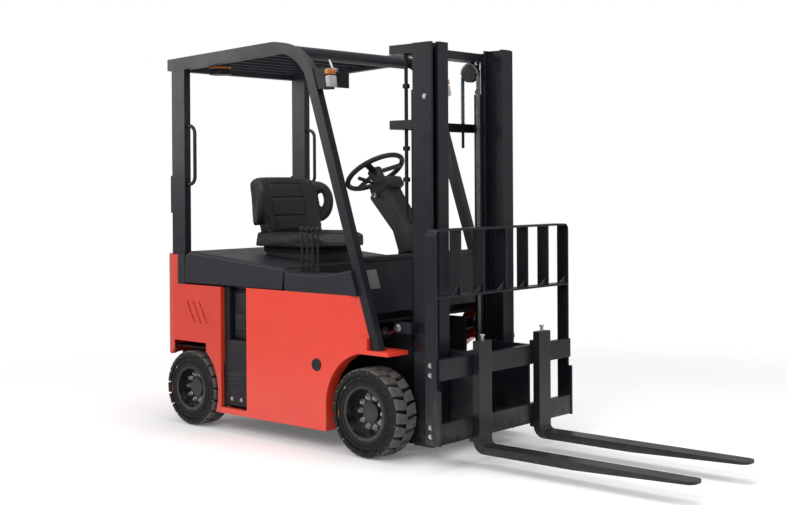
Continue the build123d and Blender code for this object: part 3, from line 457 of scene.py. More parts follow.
class Finish(Enum):
    """Every finish on the truck."""

    BODY_RED = PaintFinish("body_red_paint", (0.81, 0.050, 0.023), (0.10, 0.03, 0.02), wear=0.35, coat=0.3)
    CAST_RED = PaintFinish("casting_red_paint", (0.65, 0.039, 0.019), (0.09, 0.03, 0.02), wear=0.4,
                           ripple=0.0011, ripple_scale=70.0, edge=0.008, roughness=0.38)
    FRAME_BLACK = PaintFinish("frame_black_paint", (0.012, 0.012, 0.017), (0.12, 0.115, 0.11), coat=0.1, specular=0.3)
    MAST_BLACK = PaintFinish("mast_black_paint", (0.010, 0.011, 0.015), (0.16, 0.155, 0.15), roughness=0.30,
                             wear=0.7, edge=0.003, coat=0.1, specular=0.28)
    FORK_BLACK = PaintFinish("fork_black_paint", (0.012, 0.012, 0.015), (0.22, 0.21, 0.20), roughness=0.34,
                             wear=0.9, dust_top=0.12, coat=0.1, specular=0.35)
    RIM_BLACK = PaintFinish("rim_black_paint", (0.009, 0.009, 0.011), (0.14, 0.13, 0.12), roughness=0.20, edge=0.0035,
                            coat=0.25, specular=0.33)
    BATTERY = PaintFinish("battery_case_paint", (0.009, 0.009, 0.011), (0.10, 0.10, 0.10), coat=0.05, specular=0.25)
    HOOD = PlasticFinish("hood_moulding", (0.012, 0.011, 0.016), roughness=0.40, specular=0.32)
    CONTROL = PlasticFinish("control_moulding", (0.010, 0.010, 0.012), grain_scale=800.0, specular=0.3)
    LAMP_CASE = PlasticFinish("lamp_moulding", (0.009, 0.009, 0.011), roughness=0.32, grain=0.0002)
    PAD = RubberFinish("pedal_rubber", (0.010, 0.010, 0.011), (0.03, 0.029, 0.028))
    SEAT = LeatherFinish("seat_cover_grain", (0.011, 0.011, 0.013))
    TYRE = RubberFinish("tyre_wall_rubber", (0.009, 0.009, 0.010), (0.020, 0.019, 0.019), roughness=0.58)
    TREAD = RubberFinish("tyre_tread_rubber", (0.085, 0.083, 0.080), (0.165, 0.158, 0.150))
    STEEL = MetalFinish("plated_steel", (0.52, 0.52, 0.54), (0.22, 0.20, 0.18))
    CHROME = MetalFinish("chromed_rod", (0.74, 0.74, 0.76), (0.50, 0.49, 0.47), roughness=0.12)
    CHAIN = MetalFinish("oiled_chain", (0.20, 0.20, 0.21), (0.06, 0.056, 0.052), roughness=0.30)
    PULLEY = MetalFinish("dark_pulley", (0.055, 0.055, 0.058), (0.02, 0.02, 0.02), roughness=0.36)
    PLATE = MetalFinish("blank_plate", (0.42, 0.43, 0.45), (0.34, 0.34, 0.36), roughness=0.40)
    CLEAR = LensFinish("clear_lens", (0.55, 0.56, 0.58))
    AMBER = LensFinish("amber_lens", (0.72, 0.20, 0.015))
    RED_LENS = LensFinish("red_lens", (0.50, 0.015, 0.012))
    MARK = RubberFinish("tyre_mark_paint", (0.62, 0.17, 0.02), (0.48, 0.14, 0.03))
    MARK_WHITE = RubberFinish("tyre_tick_paint", (0.55, 0.55, 0.54), (0.40, 0.39, 0.38))

    def material(self) -> bpy.types.Material:
        """The finish's material, made once."""
        return bpy.data.materials.get(self.value.name) or self.value.make()


SLOT_FINISH: dict[str, Finish] = {
    "body_red": Finish.BODY_RED, "counterweight_red": Finish.CAST_RED, "frame_black": Finish.FRAME_BLACK,
    "mast_black": Finish.MAST_BLACK, "fork_black": Finish.FORK_BLACK, "battery_case": Finish.BATTERY,
    "hood_plastic": Finish.HOOD, "control_plastic": Finish.CONTROL, "lamp_case": Finish.LAMP_CASE,
    "rubber_pad": Finish.PAD, "seat_cover": Finish.SEAT, "tyre_rubber": Finish.TYRE, "rim_black": Finish.RIM_BLACK,
    "bare_steel": Finish.STEEL, "rod_chrome": Finish.CHROME,
}

# Solids whose finish isn't their slot's own
NODE_FINISH: dict[str, Finish] = {"chain_pulleys": Finish.PULLEY, "chain_wrap": Finish.CHAIN}


@dataclass
class Studio:
    """Camera at the photograph's angle, white sweep and soft lamps."""

    eye: Point = (4.31075, -5.14455, 1.39163)
    heading: float = 48.25
    pitch: float = -0.29
    roll: float = -0.33
    lens: float = 57.24
    shift_y: float = -0.0794
    floor_size: float = 16.0
    floor_fade: Span = (2.3, 4.6)
    floor_lift: float = 0.12
    floor_z: float = -0.0005
    dome: float = 0.42
    lamps: Sequence[tuple[str, Point, Point, Span, float]] = (
        ("key_box", (1.5, -5.5, 4.2), (-0.4, 0, 0.8), (4.0, 3.0), 175.0),
        ("rear_side_box", (-5.0, -3.5, 3.0), (-0.8, 0, 1.0), (3.0, 3.0), 80.0),
        ("front_box", (5.5, 1.5, 3.0), (0.3, 0, 1.0), (3.0, 3.0), 95.0),
        ("top_box", (-0.2, 0.3, 5.5), (-0.2, 0, 0.5), (4.5, 3.0), 150.0))

    def camera(self) -> None:
        """Places the camera."""
        data = bpy.data.cameras.new("photo_camera")
        data.lens = self.lens
        data.sensor_width = 36.0
        data.shift_y = self.shift_y
        data.clip_end = 200.0
        yaw, tilt, lean = (math.radians(a) for a in (self.heading, self.pitch, self.roll))
        ahead = Vector((-math.cos(yaw) * math.cos(tilt), math.sin(yaw) * math.cos(tilt), math.sin(tilt)))
        right = ahead.cross(Vector((0, 0, 1))).normalized()
        up = right.cross(ahead)
        leaned = right * math.cos(lean) + up * math.sin(lean)
        risen = up * math.cos(lean) - right * math.sin(lean)
        eye = bpy.data.objects.new("photo_camera", data)
        turn = Matrix((leaned, risen, -ahead)).transposed()
        eye.matrix_world = Matrix.Translation(self.eye) @ turn.to_4x4()
        bpy.context.scene.collection.objects.link(eye)
        bpy.context.scene.camera = eye

    def floor(self) -> None:
        """Lays a pale floor that shows white to the camera but keeps the truck's shadow."""
        deselect()
        bpy.ops.mesh.primitive_plane_add(size=self.floor_size, location=(0, 0, self.floor_z))
        floor = bpy.context.object
        floor.name = "studio_floor"
        g = Graph("pale_floor")
        path = g.node("LightPath")
        g.done(Base_Color=(0.92, 0.92, 0.92), Roughness=0.95, Specular_IOR_Level=0.1, Emission_Color=(1.0, 1.0, 1.0),
               Emission_Strength=g.math("MULTIPLY", path.outputs["Is Camera Ray"], self.floor_lift))
        reach = g.node("VectorMath", operation="LENGTH")
        g.link(g.coordinates, reach.inputs[0])
        fade = g.node("MapRange", interpolation_type="SMOOTHSTEP")
        fade.inputs["From Min"].default_value, fade.inputs["From Max"].default_value = self.floor_fade
        g.link(reach.outputs["Value"], fade.inputs["Value"])
        both = g.node("MixShader")
        g.link(fade.outputs["Result"], both.inputs[0])
        g.link(g.shader.outputs["BSDF"], both.inputs[1])
        g.link(g.node("BsdfTransparent").outputs["BSDF"], both.inputs[2])
        g.link(both.outputs["Shader"], g.tree.nodes["Material Output"].inputs["Surface"])
        floor.data.materials.append(g.material)

    def world(self) -> None:
        """Sets a white surround for the camera and through glass, and a soft dome for light and reflections."""
        world = bpy.data.worlds.new("studio_world")
        bpy.context.scene.world = world
        world.use_nodes = True
        nodes, links = world.node_tree.nodes, world.node_tree.links
        back = nodes["Background"]
        back.inputs["Color"].default_value = (1, 1, 1, 1)
        path = nodes.new("ShaderNodeLightPath")
        seen = nodes.new("ShaderNodeMath")
        seen.operation = "MAXIMUM"
        links.new(path.outputs["Is Camera Ray"], seen.inputs[0])
        links.new(path.outputs["Is Transmission Ray"], seen.inputs[1])
        strength = nodes.new("ShaderNodeMapRange")
        strength.inputs["To Min"].default_value = self.dome
        strength.inputs["To Max"].default_value = 1.0
        links.new(seen.outputs["Value"], strength.inputs["Value"])
        links.new(strength.outputs["Result"], back.inputs["Strength"])

    def lamp(self, name: str, place: Point, aim: Point, size: Span, power: float) -> None:
        """Adds one soft box.

        Args:
            name: the lamp's name.
            place: where it hangs.
            aim: the point that it faces.
            size: its width and height.
            power: its power in watts.
        """
        data = bpy.data.lights.new(name, "AREA")
        data.shape = "RECTANGLE"
        data.size, data.size_y = size
        data.energy = power
        box = bpy.data.objects.new(name, data)
        box.location = place
        box.rotation_euler = (Vector(aim) - Vector(place)).to_track_quat("-Z", "Y").to_euler()
        bpy.context.scene.collection.objects.link(box)

    def build(self) -> None:
        """Builds the whole studio."""
        bpy.context.scene.view_settings.view_transform = "Standard"
        self.camera()
        self.floor()
        self.world()
        for row in self.lamps:
            self.lamp(*row)


def deselect() -> None:
    """Leaves edit mode and deselects everything."""
    if bpy.context.mode != "OBJECT":
        bpy.ops.object.mode_set(mode="OBJECT")
    bpy.ops.object.select_all(action="DESELECT")


def activate(obj: Piece) -> None:
    """Selects one object alone and makes it the active one."""
    deselect()
    obj.select_set(True)
    bpy.context.view_layer.objects.active = obj


def edit(obj: Piece, whole: bool = False) -> None:
    """Opens one object in edit mode, with nothing or the whole of it selected."""
    activate(obj)
    bpy.ops.object.mode_set(mode="EDIT")
    bpy.ops.mesh.select_all(action="SELECT" if whole else "DESELECT")


def close() -> None:
    """Goes back to object mode."""
    bpy.ops.object.mode_set(mode="OBJECT")


def pick(obj: Piece, test: Test, kind: str = "VERT") -> None:
    """Selects vertices or faces of the object in edit mode by place and normal.

    Args:
        obj: the object in edit mode.
        test: called with the place and the normal of each vertex or face.
        kind: "VERT" or "FACE".
    """
    bpy.ops.mesh.select_mode(type=kind)
    bpy.ops.mesh.select_all(action="DESELECT")
    shape = bmesh.from_edit_mesh(obj.data)
    for row in shape.verts if kind == "VERT" else shape.faces:
        place = row.co if kind == "VERT" else row.calc_center_median()
        if test(place, row.normal):
            row.select_set(True)
    shape.select_flush(True)
    bmesh.update_edit_mesh(obj.data)


def settle(obj: Piece) -> Piece:
    """Puts the object's place into its mesh."""
    activate(obj)
    bpy.ops.object.transform_apply(location=True, rotation=True, scale=True)
    return obj


def apply(obj: Piece, kind: str, **values: object) -> Piece:
    """Adds one modifier, sets it and applies it.

    Args:
        obj: the object.
        kind: the modifier's type.
        values: the modifier's settings, by name.

    Returns:
        The same object.
    """
    activate(obj)
    modifier = obj.modifiers.new(kind.lower(), kind)
    for key, value in values.items():
        setattr(modifier, key, value)
    bpy.ops.object.modifier_apply(modifier=modifier.name)
    return obj


def carve(obj: Piece, cutter: Piece) -> Piece:
    """Cuts one form out of another and deletes the cutter."""
    apply(obj, "BOOLEAN", operation="DIFFERENCE", solver="EXACT", object=cutter)
    bpy.data.objects.remove(cutter, do_unlink=True)
    return obj


def soften(obj: Piece, width: float, segments: int = 2, angle: float = 50.0) -> Piece:
    """Rounds a piece's edges that are sharper than an angle with a bevel of some facets, and returns the piece."""
    return apply(obj, "BEVEL", width=width, segments=segments, limit_method="ANGLE", angle_limit=math.radians(angle))


def cube(name: str, low: Point, high: Point) -> Piece:
    """Starts a piece from a box.

    Args:
        name: the piece's name.
        low: its lowest corner.
        high: its highest corner.

    Returns:
        The new object, at the origin, with its place in its mesh.
    """
    deselect()
    middle = [(a + b) / 2 for a, b in zip(low, high)]
    bpy.ops.mesh.primitive_cube_add(size=1.0, location=middle)
    obj = bpy.context.object
    obj.name = obj.data.name = name
    obj.scale = [b - a for a, b in zip(low, high)]
    return settle(obj)


def flank(name: str, side: int, x: Span, y: Span, z: Span) -> Piece:
    """Starts a piece from a box on one side of the truck, with y given as distances from the truck's middle."""
    low, high = sorted(side * each for each in y)
    return cube(name, (x[0], low, z[0]), (x[1], high, z[1]))


def rod(name: str, start: Point, end: Point, radius: float, sides: int = 24) -> Piece:
    """Starts a piece from a round bar.

    Args:
        name: the piece's name.
        start: the middle of its first end.
        end: the middle of its other end.
        radius: its radius.
        sides: how many sides it has.

    Returns:
        The new object, at the origin, with its place in its mesh.
    """
    deselect()
    first, last = Vector(start), Vector(end)
    way = last - first
    bpy.ops.mesh.primitive_cylinder_add(vertices=sides, radius=radius, depth=way.length, location=(first + last) / 2)
    obj = bpy.context.object
    obj.name = obj.data.name = name
    obj.rotation_euler = way.to_track_quat("Z", "Y").to_euler()
    return settle(obj)


def polyline(name: str, points: Sequence[Point]) -> Piece:
    """Starts a piece from a chain of edges.

    Args:
        name: the piece's name.
        points: the chain's points.

    Returns:
        The new object, left in edit mode.
    """
    deselect()
    bpy.ops.mesh.primitive_plane_add(size=0.01, location=points[0])
    obj = settle(bpy.context.object)
    obj.name = obj.data.name = name
    edit(obj)
    bpy.ops.mesh.select_mode(type="VERT")
    bpy.ops.mesh.select_all(action="SELECT")
    bpy.ops.mesh.merge(type="CENTER")
    for here, there in zip(points, points[1:]):
        step = Vector(there) - Vector(here)
        bpy.ops.mesh.extrude_vertices_move(TRANSFORM_OT_translate={"value": step})
    return obj


def tube(name: str, points: Sequence[Point], radius: float, facets: int) -> Piece:
    """Makes a bent round tube.

    Args:
        name: the tube's name.
        points: the points that it runs through.
        radius: its radius.
        facets: the resolution of its round.

    Returns:
        The tube.
    """
    polyline(name, points)
    close()
    bpy.ops.object.convert(target="CURVE")
    curve = bpy.context.object.data
    curve.bevel_depth, curve.bevel_resolution = radius, facets
    bpy.ops.object.convert(target="MESH")
    return bpy.context.object


def slab(name: str, points: Sequence[Point], push: Point) -> Piece:
    """Makes a slab from a flat outline.

    Args:
        name: the piece's name.
        points: the outline's corners in order.
        push: how far and which way the outline is extruded.

    Returns:
        The slab.
    """
    obj = polyline(name, points)
    bpy.ops.mesh.select_all(action="SELECT")
    bpy.ops.mesh.edge_face_add()
    bpy.ops.mesh.extrude_region_move(TRANSFORM_OT_translate={"value": push})
    bpy.ops.mesh.select_all(action="SELECT")
    bpy.ops.mesh.normals_make_consistent(inside=False)
    close()
    return obj


def sink(obj: Piece, test: Test, margin: float, depth: float) -> None:
    """Insets the faces that a test picks, and lowers them.

    Args:
        obj: the piece.
        test: called with the middle and the normal of each face.
        margin: the width of the rim that is left.
        depth: how far the faces go in.
    """
    edit(obj)
    pick(obj, test, "FACE")
    bpy.ops.mesh.inset(thickness=margin, depth=-depth)
    close()


def ring(obj: Piece, centre: Point, axis: Point, steps: int) -> Piece:
    """Turns the profile in edit mode into a closed ring.

    Args:
        obj: the object in edit mode.
        centre: a point on the axis.
        axis: the axis's direction.
        steps: how many facets the ring has.

    Returns:
        The same object.
    """
    bpy.ops.mesh.select_all(action="SELECT")
    bpy.ops.mesh.spin(steps=steps, angle=2 * math.pi, center=centre, axis=axis)
    bpy.ops.mesh.select_all(action="SELECT")
    bpy.ops.mesh.remove_doubles(threshold=0.00005)
    bpy.ops.mesh.normals_make_consistent(inside=False)
    close()
    return obj


def repeat(obj: Piece, centre: Point, axis: Point, count: int) -> Piece:
    """Copies the whole mesh round an axis.

    Args:
        obj: the object to fill up.
        centre: a point on the axis.
        axis: the axis's direction.
        count: how many there are in the full turn.

    Returns:
        The same object.
    """
    edit(obj, whole=True)
    bpy.ops.mesh.spin(steps=count - 1, angle=2 * math.pi * (count - 1) / count, center=centre, axis=axis, dupli=True)
    close()
    return obj


def join(name: str, parts: Sequence[Piece]) -> Piece:
    """Joins several meshes into one piece.

    Args:
        name: the joined piece's name.
        parts: the meshes.

    Returns:
        The joined object.
    """
    deselect()
    for part in parts:
        part.select_set(True)
    bpy.context.view_layer.objects.active = parts[0]
    if len(parts) > 1:
        bpy.ops.object.join()
    obj = bpy.context.view_layer.objects.active
    obj.name = obj.data.name = name
    return obj


def paint(obj: Piece, finish: Finish) -> Piece:
    """Gives a mesh one finish all over, and returns the mesh."""
    obj.data.materials.clear()
    obj.data.materials.append(finish.material())
    return obj


def dress(obj: Piece, finish: Finish | None, body: str,
          angle: float = 35.0) -> Piece:
    """Gives a finished piece its look and the body that it moves with.

    Args:
        obj: the piece.
        finish: its finish, or None where its meshes already have theirs.
        body: the body's name.
        angle: edges flatter than this are shaded smooth.

    Returns:
        The same piece.
    """
    activate(obj)
    bpy.ops.object.shade_smooth_by_angle(angle=math.radians(angle))
    if finish is not None:
        paint(obj, finish)
    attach(obj, body)
    LOG.info("%s: %d faces on %s", obj.name, len(obj.data.polygons), body)
    return obj


@dataclass
class Wheel:
    """One solid tyre with two staggered rows of lugs, its bead rings, and the nuts on its rim."""

    place: str
    side: int
    radius: float
    width: float
    outer: float
    rim: float
    face: float
    axle_x: float
    lugs: int = 20
    lug_height: float = 0.017
    lug_half: float = 0.0295
    lug_gap: float = 0.004
    lug_sunk: float = 0.006
    slant: float = 0.014
    shoulder: float = 0.016
    crown: float = 0.003
    wall_lean: float = 0.75
    facets: int = 96
    nut_circle: float = 0.079
    nut_count: int = 10
    tick_half: float = 0.003
    tick_thick: float = 0.0012

    @property
    def name(self) -> str:
        """The wheel's place on the truck."""
        return f"{self.place}_{side_name(self.side)}"

    @property
    def hub(self) -> Point:
        """The middle of the tyre."""
        return (self.axle_x, self.side * (self.outer - self.width / 2), self.radius)

    def carcass(self) -> Piece:
        """The tyre's body under its lugs, with raised rings on the wall."""
        half = self.width / 2
        base = self.radius - self.lug_height
        inner = [(0.006, self.rim), (0.001, self.rim + 0.012), (0.002, base - 0.034), (0.012, base - 0.010),
                 (0.026, base)]
        outer = [(0.026, base), (0.012, base - 0.010), (0.004, base - 0.030), (0.004, base - 0.036),
                 (0.001, base - 0.038), (0.001, base - 0.042), (0.005, base - 0.044), (0.004, self.rim + 0.020),
                 (0.001, self.rim + 0.018), (0.001, self.rim + 0.008), (0.006, self.rim)]
        wall = [(inset - half, out) for inset, out in inner] + [(half - inset, out) for inset, out in outer]
        x, y, z = self.hub
        points = [(x, y + self.side * across, z + out) for across, out in wall]
        return ring(polyline(f"tyre_{self.name}_body", points), self.hub, ACROSS, self.facets)

    def lug_row(self, row: int) -> Piece:
        """One row of slanted lugs that wrap over the shoulder.

        Args:
            row: 1 for the outer row and -1 for the inner row.

        Returns:
            The row as one mesh.
        """
        x, y, z = self.hub
        way = row * self.side
        near, far = y - way * self.lug_gap, y + way * (self.width / 2 - self.shoulder)
        top, root = z + self.radius - self.crown, z + self.radius - self.lug_height - self.lug_sunk
        obj = cube(f"tyre_{self.name}_lugs_{row}", (x - self.lug_half, min(near, far), root),
                   (x + self.lug_half, max(near, far), top))
        edit(obj)
        pick(obj, lambda p, n: abs(p.y - near) < NEAR)
        bpy.ops.transform.translate(value=(self.slant, 0, 0))
        bpy.ops.transform.resize(value=(0.80, 1, 1), center_override=(x + self.slant, near, top))
        pick(obj, lambda p, n: p.z > top - NEAR)
        bpy.ops.transform.resize(value=(0.93, 1, 1), center_override=(x + 0.006, y, top))
        pick(obj, lambda p, n: abs(p.y - far) < NEAR, "FACE")
        for out, down in ((0.011, 0.007), (0.0042, 0.017)):
            bpy.ops.mesh.extrude_region_move(TRANSFORM_OT_translate={"value": (0, way * out, -down)})
        bpy.ops.transform.resize(value=(0.9, 1, 0.4), center_override=(x, far + way * 0.0152, top - 0.030))
        close()
        soften(obj, 0.0018, 2, 30.0)
        if row < 0:
            self.turn(obj, 180.0 / self.lugs)
        return repeat(obj, self.hub, ACROSS, self.lugs)

    def turn(self, obj: Piece, angle: float) -> Piece:
        """Turns a piece round the axle by an angle in degrees."""
        spin = Matrix.Translation(self.hub) @ Matrix.Rotation(math.radians(angle), 4, "Y")
        obj.matrix_world = spin @ Matrix.Translation(-Vector(self.hub))
        return settle(obj)

    def nuts(self) -> Piece:
        """Hexagon nuts with washers on the rim's studs."""
        x, _, z = self.hub

        def turned(name: str, low: float, high: float, radius: float, sides: int) -> Piece:
            """One round of the first stud, between two heights over the rim's face."""
            low_y, high_y = (self.side * (self.face + each) for each in (low, high))
            return rod(name, (x + self.nut_circle, low_y, z), (x + self.nut_circle, high_y, z), radius, sides)

        washer = turned("washer", 0.0, 0.004, 0.0150, 20)
        nut = soften(turned("nut", 0.0035, 0.0145, 0.0125, 6), 0.0012, 2, 20.0)
        tip = soften(turned("tip", 0.014, 0.021, 0.0066, 16), 0.0015, 2, 60.0)
        return repeat(join(f"wheel_nuts_{self.name}", [nut, washer, tip]), self.hub, ACROSS, self.nut_count)

    def mark(self, angle: float, length: float, finish: Finish) -> Piece:
        """One painted tick on the tyre's wall.

        Args:
            angle: its place round the wheel, in degrees from the front.
            length: the tick's length.
            finish: the tick's paint.

        Returns:
            The tick.
        """
        x, y, z = self.hub
        wall = y + self.side * (self.width / 2 - 0.0045)
        out = x + (self.rim + self.radius - self.lug_height) / 2
        tick = cube("tick", (out - self.tick_half, wall - self.tick_thick, z - length / 2),
                    (out + self.tick_half, wall + self.tick_thick, z + length / 2))
        return paint(self.turn(tick, -angle), finish)

    def build(self) -> None:
        """Builds the tyre, with dark walls and dusty lugs, and its nuts."""
        body = f"{self.place}_wheel_{side_name(self.side)}"
        rows = [paint(self.lug_row(row), Finish.TREAD) for row in (1, -1)]
        ticks = [self.mark(186.0, 0.034, Finish.MARK), self.mark(138.0, 0.016, Finish.MARK_WHITE)]
        tyre = join(f"tyre_{self.name}_lugged", [paint(self.carcass(), Finish.TYRE), *rows, *ticks])
        wall, tread = (tyre.data.materials.find(each.value.name) for each in (Finish.TYRE, Finish.TREAD))
        for face in tyre.data.polygons:
            if face.material_index == tread and abs(face.normal.y) > self.wall_lean:
                face.material_index = wall
        dress(tyre, None, body)
        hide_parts(f"tyre_{self.name}")
        dress(self.nuts(), Finish.STEEL, body)


@dataclass
class Seat:
    """Padded cushion and winged back, swelled by a short cloth run."""

    rear: float = -1.171
    front: float = -0.671
    half: float = 0.232
    low: float = 1.032
    high: float = 1.092
    back_low: float = 1.104
    back_high: float = 1.440
    back_half: float = 0.236
    back_thick: float = 0.078
    lean: float = 0.072
    wing_in: float = 0.158
    wing_thick: float = 0.046
    wing_root: float = -1.205
    wing_middle: Span = (-1.110, 1.290)
    wing_reach: Span = (0.122, 0.128)
    hole: Span = (-1.068, 1.300)
    hole_r: float = 0.023
    splay: float = 32.0
    voxel: float = 0.0065
    frames: int = 20

    def swell(self, obj: Piece, pressure: float, cap: float, held: Callable[[Vector], bool]) -> None:
        """Remeshes a form and inflates it, then subdivides it once.

        Args:
            obj: the closed form.
            pressure: the cloth's inner pressure.
            cap: how far a point may move.
            held: says which points stay where they are.
        """
        activate(obj)
        obj.data.remesh_voxel_size = self.voxel
        bpy.ops.object.voxel_remesh()
        apply(obj, "SMOOTH", iterations=6)
        rest = [v.co.copy() for v in obj.data.vertices]
        pins = obj.vertex_groups.new(name="held")
        pins.add([v.index for v in obj.data.vertices if held(v.co)], 1.0, "REPLACE")
        cloth = obj.modifiers.new("swell", "CLOTH")
        cloth.settings.vertex_group_mass = pins.name
        cloth.settings.use_pressure = True
        cloth.settings.uniform_pressure_force = pressure
        cloth.settings.effector_weights.gravity = 0.0
        cloth.settings.quality = 4
        cloth.point_cache.frame_start, cloth.point_cache.frame_end = 1, self.frames
        for number in range(1, self.frames + 1):
            bpy.context.scene.frame_set(number)
        bpy.ops.object.modifier_apply(modifier=cloth.name)
        for vertex, start in zip(obj.data.vertices, rest):
            move = vertex.co - start
            if move.length > cap:
                vertex.co = start + move.normalized() * cap
        bpy.context.scene.frame_set(1)
        apply(obj, "SUBSURF", levels=1, render_levels=1)

    def sew(self, obj: Piece, lines: Callable[[Vector], list[float]], width: float, way: Point) -> None:
        """Pulls sewn seams into a padded form.

        Args:
            obj: the form.
            lines: gives a point's distances from the seams near it.
            width: the seams' depth and half width.
            way: the direction of the pull.
        """
        pull = Vector(way)
        for vertex in obj.data.vertices:
            vertex.co += pull * sum(width * math.exp(-(d / width) ** 2) for d in lines(vertex.co))

    def block(self, name: str, low: Point, high: Point, cuts: int) -> Piece:
        """A box with its faces divided, ready for shaping.

        Args:
            name: the form's name.
            low: the lowest corner.
            high: the highest corner.
            cuts: how many cuts each edge gets.

        Returns:
            The divided box.
        """
        obj = cube(name, low, high)
        edit(obj, whole=True)
        bpy.ops.mesh.subdivide(number_cuts=cuts)
        close()
        return obj

    def cushion(self) -> Piece:
        """The seat cushion: raised sides, rolled front, two long seams and three cross seams."""
        obj = self.block("seat_cushion_padded", (self.rear, -self.half, self.low),
                         (self.front, self.half, self.high), 11)
        span, border = self.front - self.rear, 0.135
        for vertex in obj.data.vertices:
            p = vertex.co
            along = (p.x - self.rear) / span
            side = abs(p.y) / self.half
            top = (p.z - self.low) / (self.high - self.low)
            p.z += top * (0.020 * past(side, 0.5) - 0.012 * (1 - side * side) - 0.016 * past(along, 0.75))
            p.y *= 1.0 - 0.10 * past(along, 0.72) - 0.06 * past(1 - along, 0.75)
            p.x -= 0.030 * past(along, 0.9) * side ** 2
            p.x -= 0.020 * max(0.0, along - 0.8) * (1 - top)
        soften(obj, 0.026, 4)
        self.swell(obj, 5.0, 0.013, lambda p: p.z < self.low + 0.012)

        def seams(p: Vector) -> list[float]:
            """Distances from the seams at a point on the cushion."""
            if p.z < self.high - 0.030:
                return []
            cross = [abs(p.x - self.rear - share * span) for share in (0.30, 0.52, 0.74)]
            return [abs(abs(p.y) - border)] + (cross if abs(p.y) < border else [])

        self.sew(obj, seams, 0.0065, (0, 0, -1))
        return obj

    def wing(self, side: int) -> Piece:
        """One side wing of the back: a rounded blade with an oval hole.

        Args:
            side: -1 for the right wing and 1 for the left.

        Returns:
            The wing.
        """
        (mid_x, mid_z), (reach, rise) = self.wing_middle, self.wing_reach
        turns = [math.radians(90 - 10 * k) for k in range(19)]
        bow = [(mid_x + reach * math.cos(a) ** 0.8, mid_z + rise * math.sin(a)) for a in turns]
        outline = [(-1.235, 1.405), *bow, (-1.150, 1.150)]
        y, past_wall = side * self.wing_in, 0.02
        blade = slab("wing", [(x, y, z) for x, z in outline], (0, side * self.wing_thick, 0))
        soften(blade, 0.014, 3)
        cutter = rod("wing_cutter", (0, y - side * past_wall, 0), (0, y + side * (self.wing_thick + past_wall), 0),
                     self.hole_r, 28)
        cutter.scale = (1.0, 1.0, 2.0)
        cutter.location = (self.hole[0], 0, self.hole[1])
        carve(blade, settle(cutter))
        edit(blade, whole=True)
        bpy.ops.transform.rotate(value=-side * math.radians(self.splay), orient_axis="Z",
                                 center_override=(self.wing_root, y, 0))
        close()
        return blade

    def back(self) -> Piece:
        """The seat back: leaning pad whose sides curl forward into pierced wings."""
        obj = self.block("seat_back_padded", (self.rear, -self.back_half, self.back_low),
                         (self.rear + self.back_thick, self.back_half, self.back_high), 13)
        tall = self.back_high - self.back_low
        for vertex in obj.data.vertices:
            p = vertex.co
            rise = (p.z - self.back_low) / tall
            side = abs(p.y) / self.back_half
            front = (p.x - self.rear) / self.back_thick
            curl = past(side, 0.5)
            p.x += 0.045 * curl ** 1.5
            p.x += 0.012 * math.sin(math.pi * rise) * (1 - curl) * front
            p.x -= self.lean * rise
            p.z -= 0.030 * side ** 6 * rise
            p.y *= 1.0 - 0.10 * (1 - rise) ** 3
        obj = join("seat_back_padded", [obj] + [self.wing(side) for side in SIDES.values()])
        self.swell(obj, 3.0, 0.008, lambda p: p.z < self.back_low + 0.010)

        def seams(p: Vector) -> list[float]:
            """Distances from the seams at a point on the back's face."""
            rise = (p.z - self.back_low) / tall
            face = self.rear + self.back_thick * 0.55 - self.lean * rise
            if p.x < face or rise < 0.08 or abs(p.y) > self.wing_in - 0.012:
                return []
            border = 0.118 + 0.020 * math.sin(math.pi * rise)
            cross = [abs(rise - share) * tall for share in (0.30, 0.62, 0.86)]
            return [abs(abs(p.y) - border)] + (cross if abs(p.y) < border else [])

        self.sew(obj, seams, 0.006, (-1, 0, 0))
        return obj

    def build(self) -> None:
        """Builds both pads on the hood."""
        for pad, node, fill in ((self.cushion(), "seat_cushion", 0.75), (self.back(), "seat_back", 0.8)):
            dress(pad, Finish.SEAT, "hood", 60.0)
            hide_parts(node)


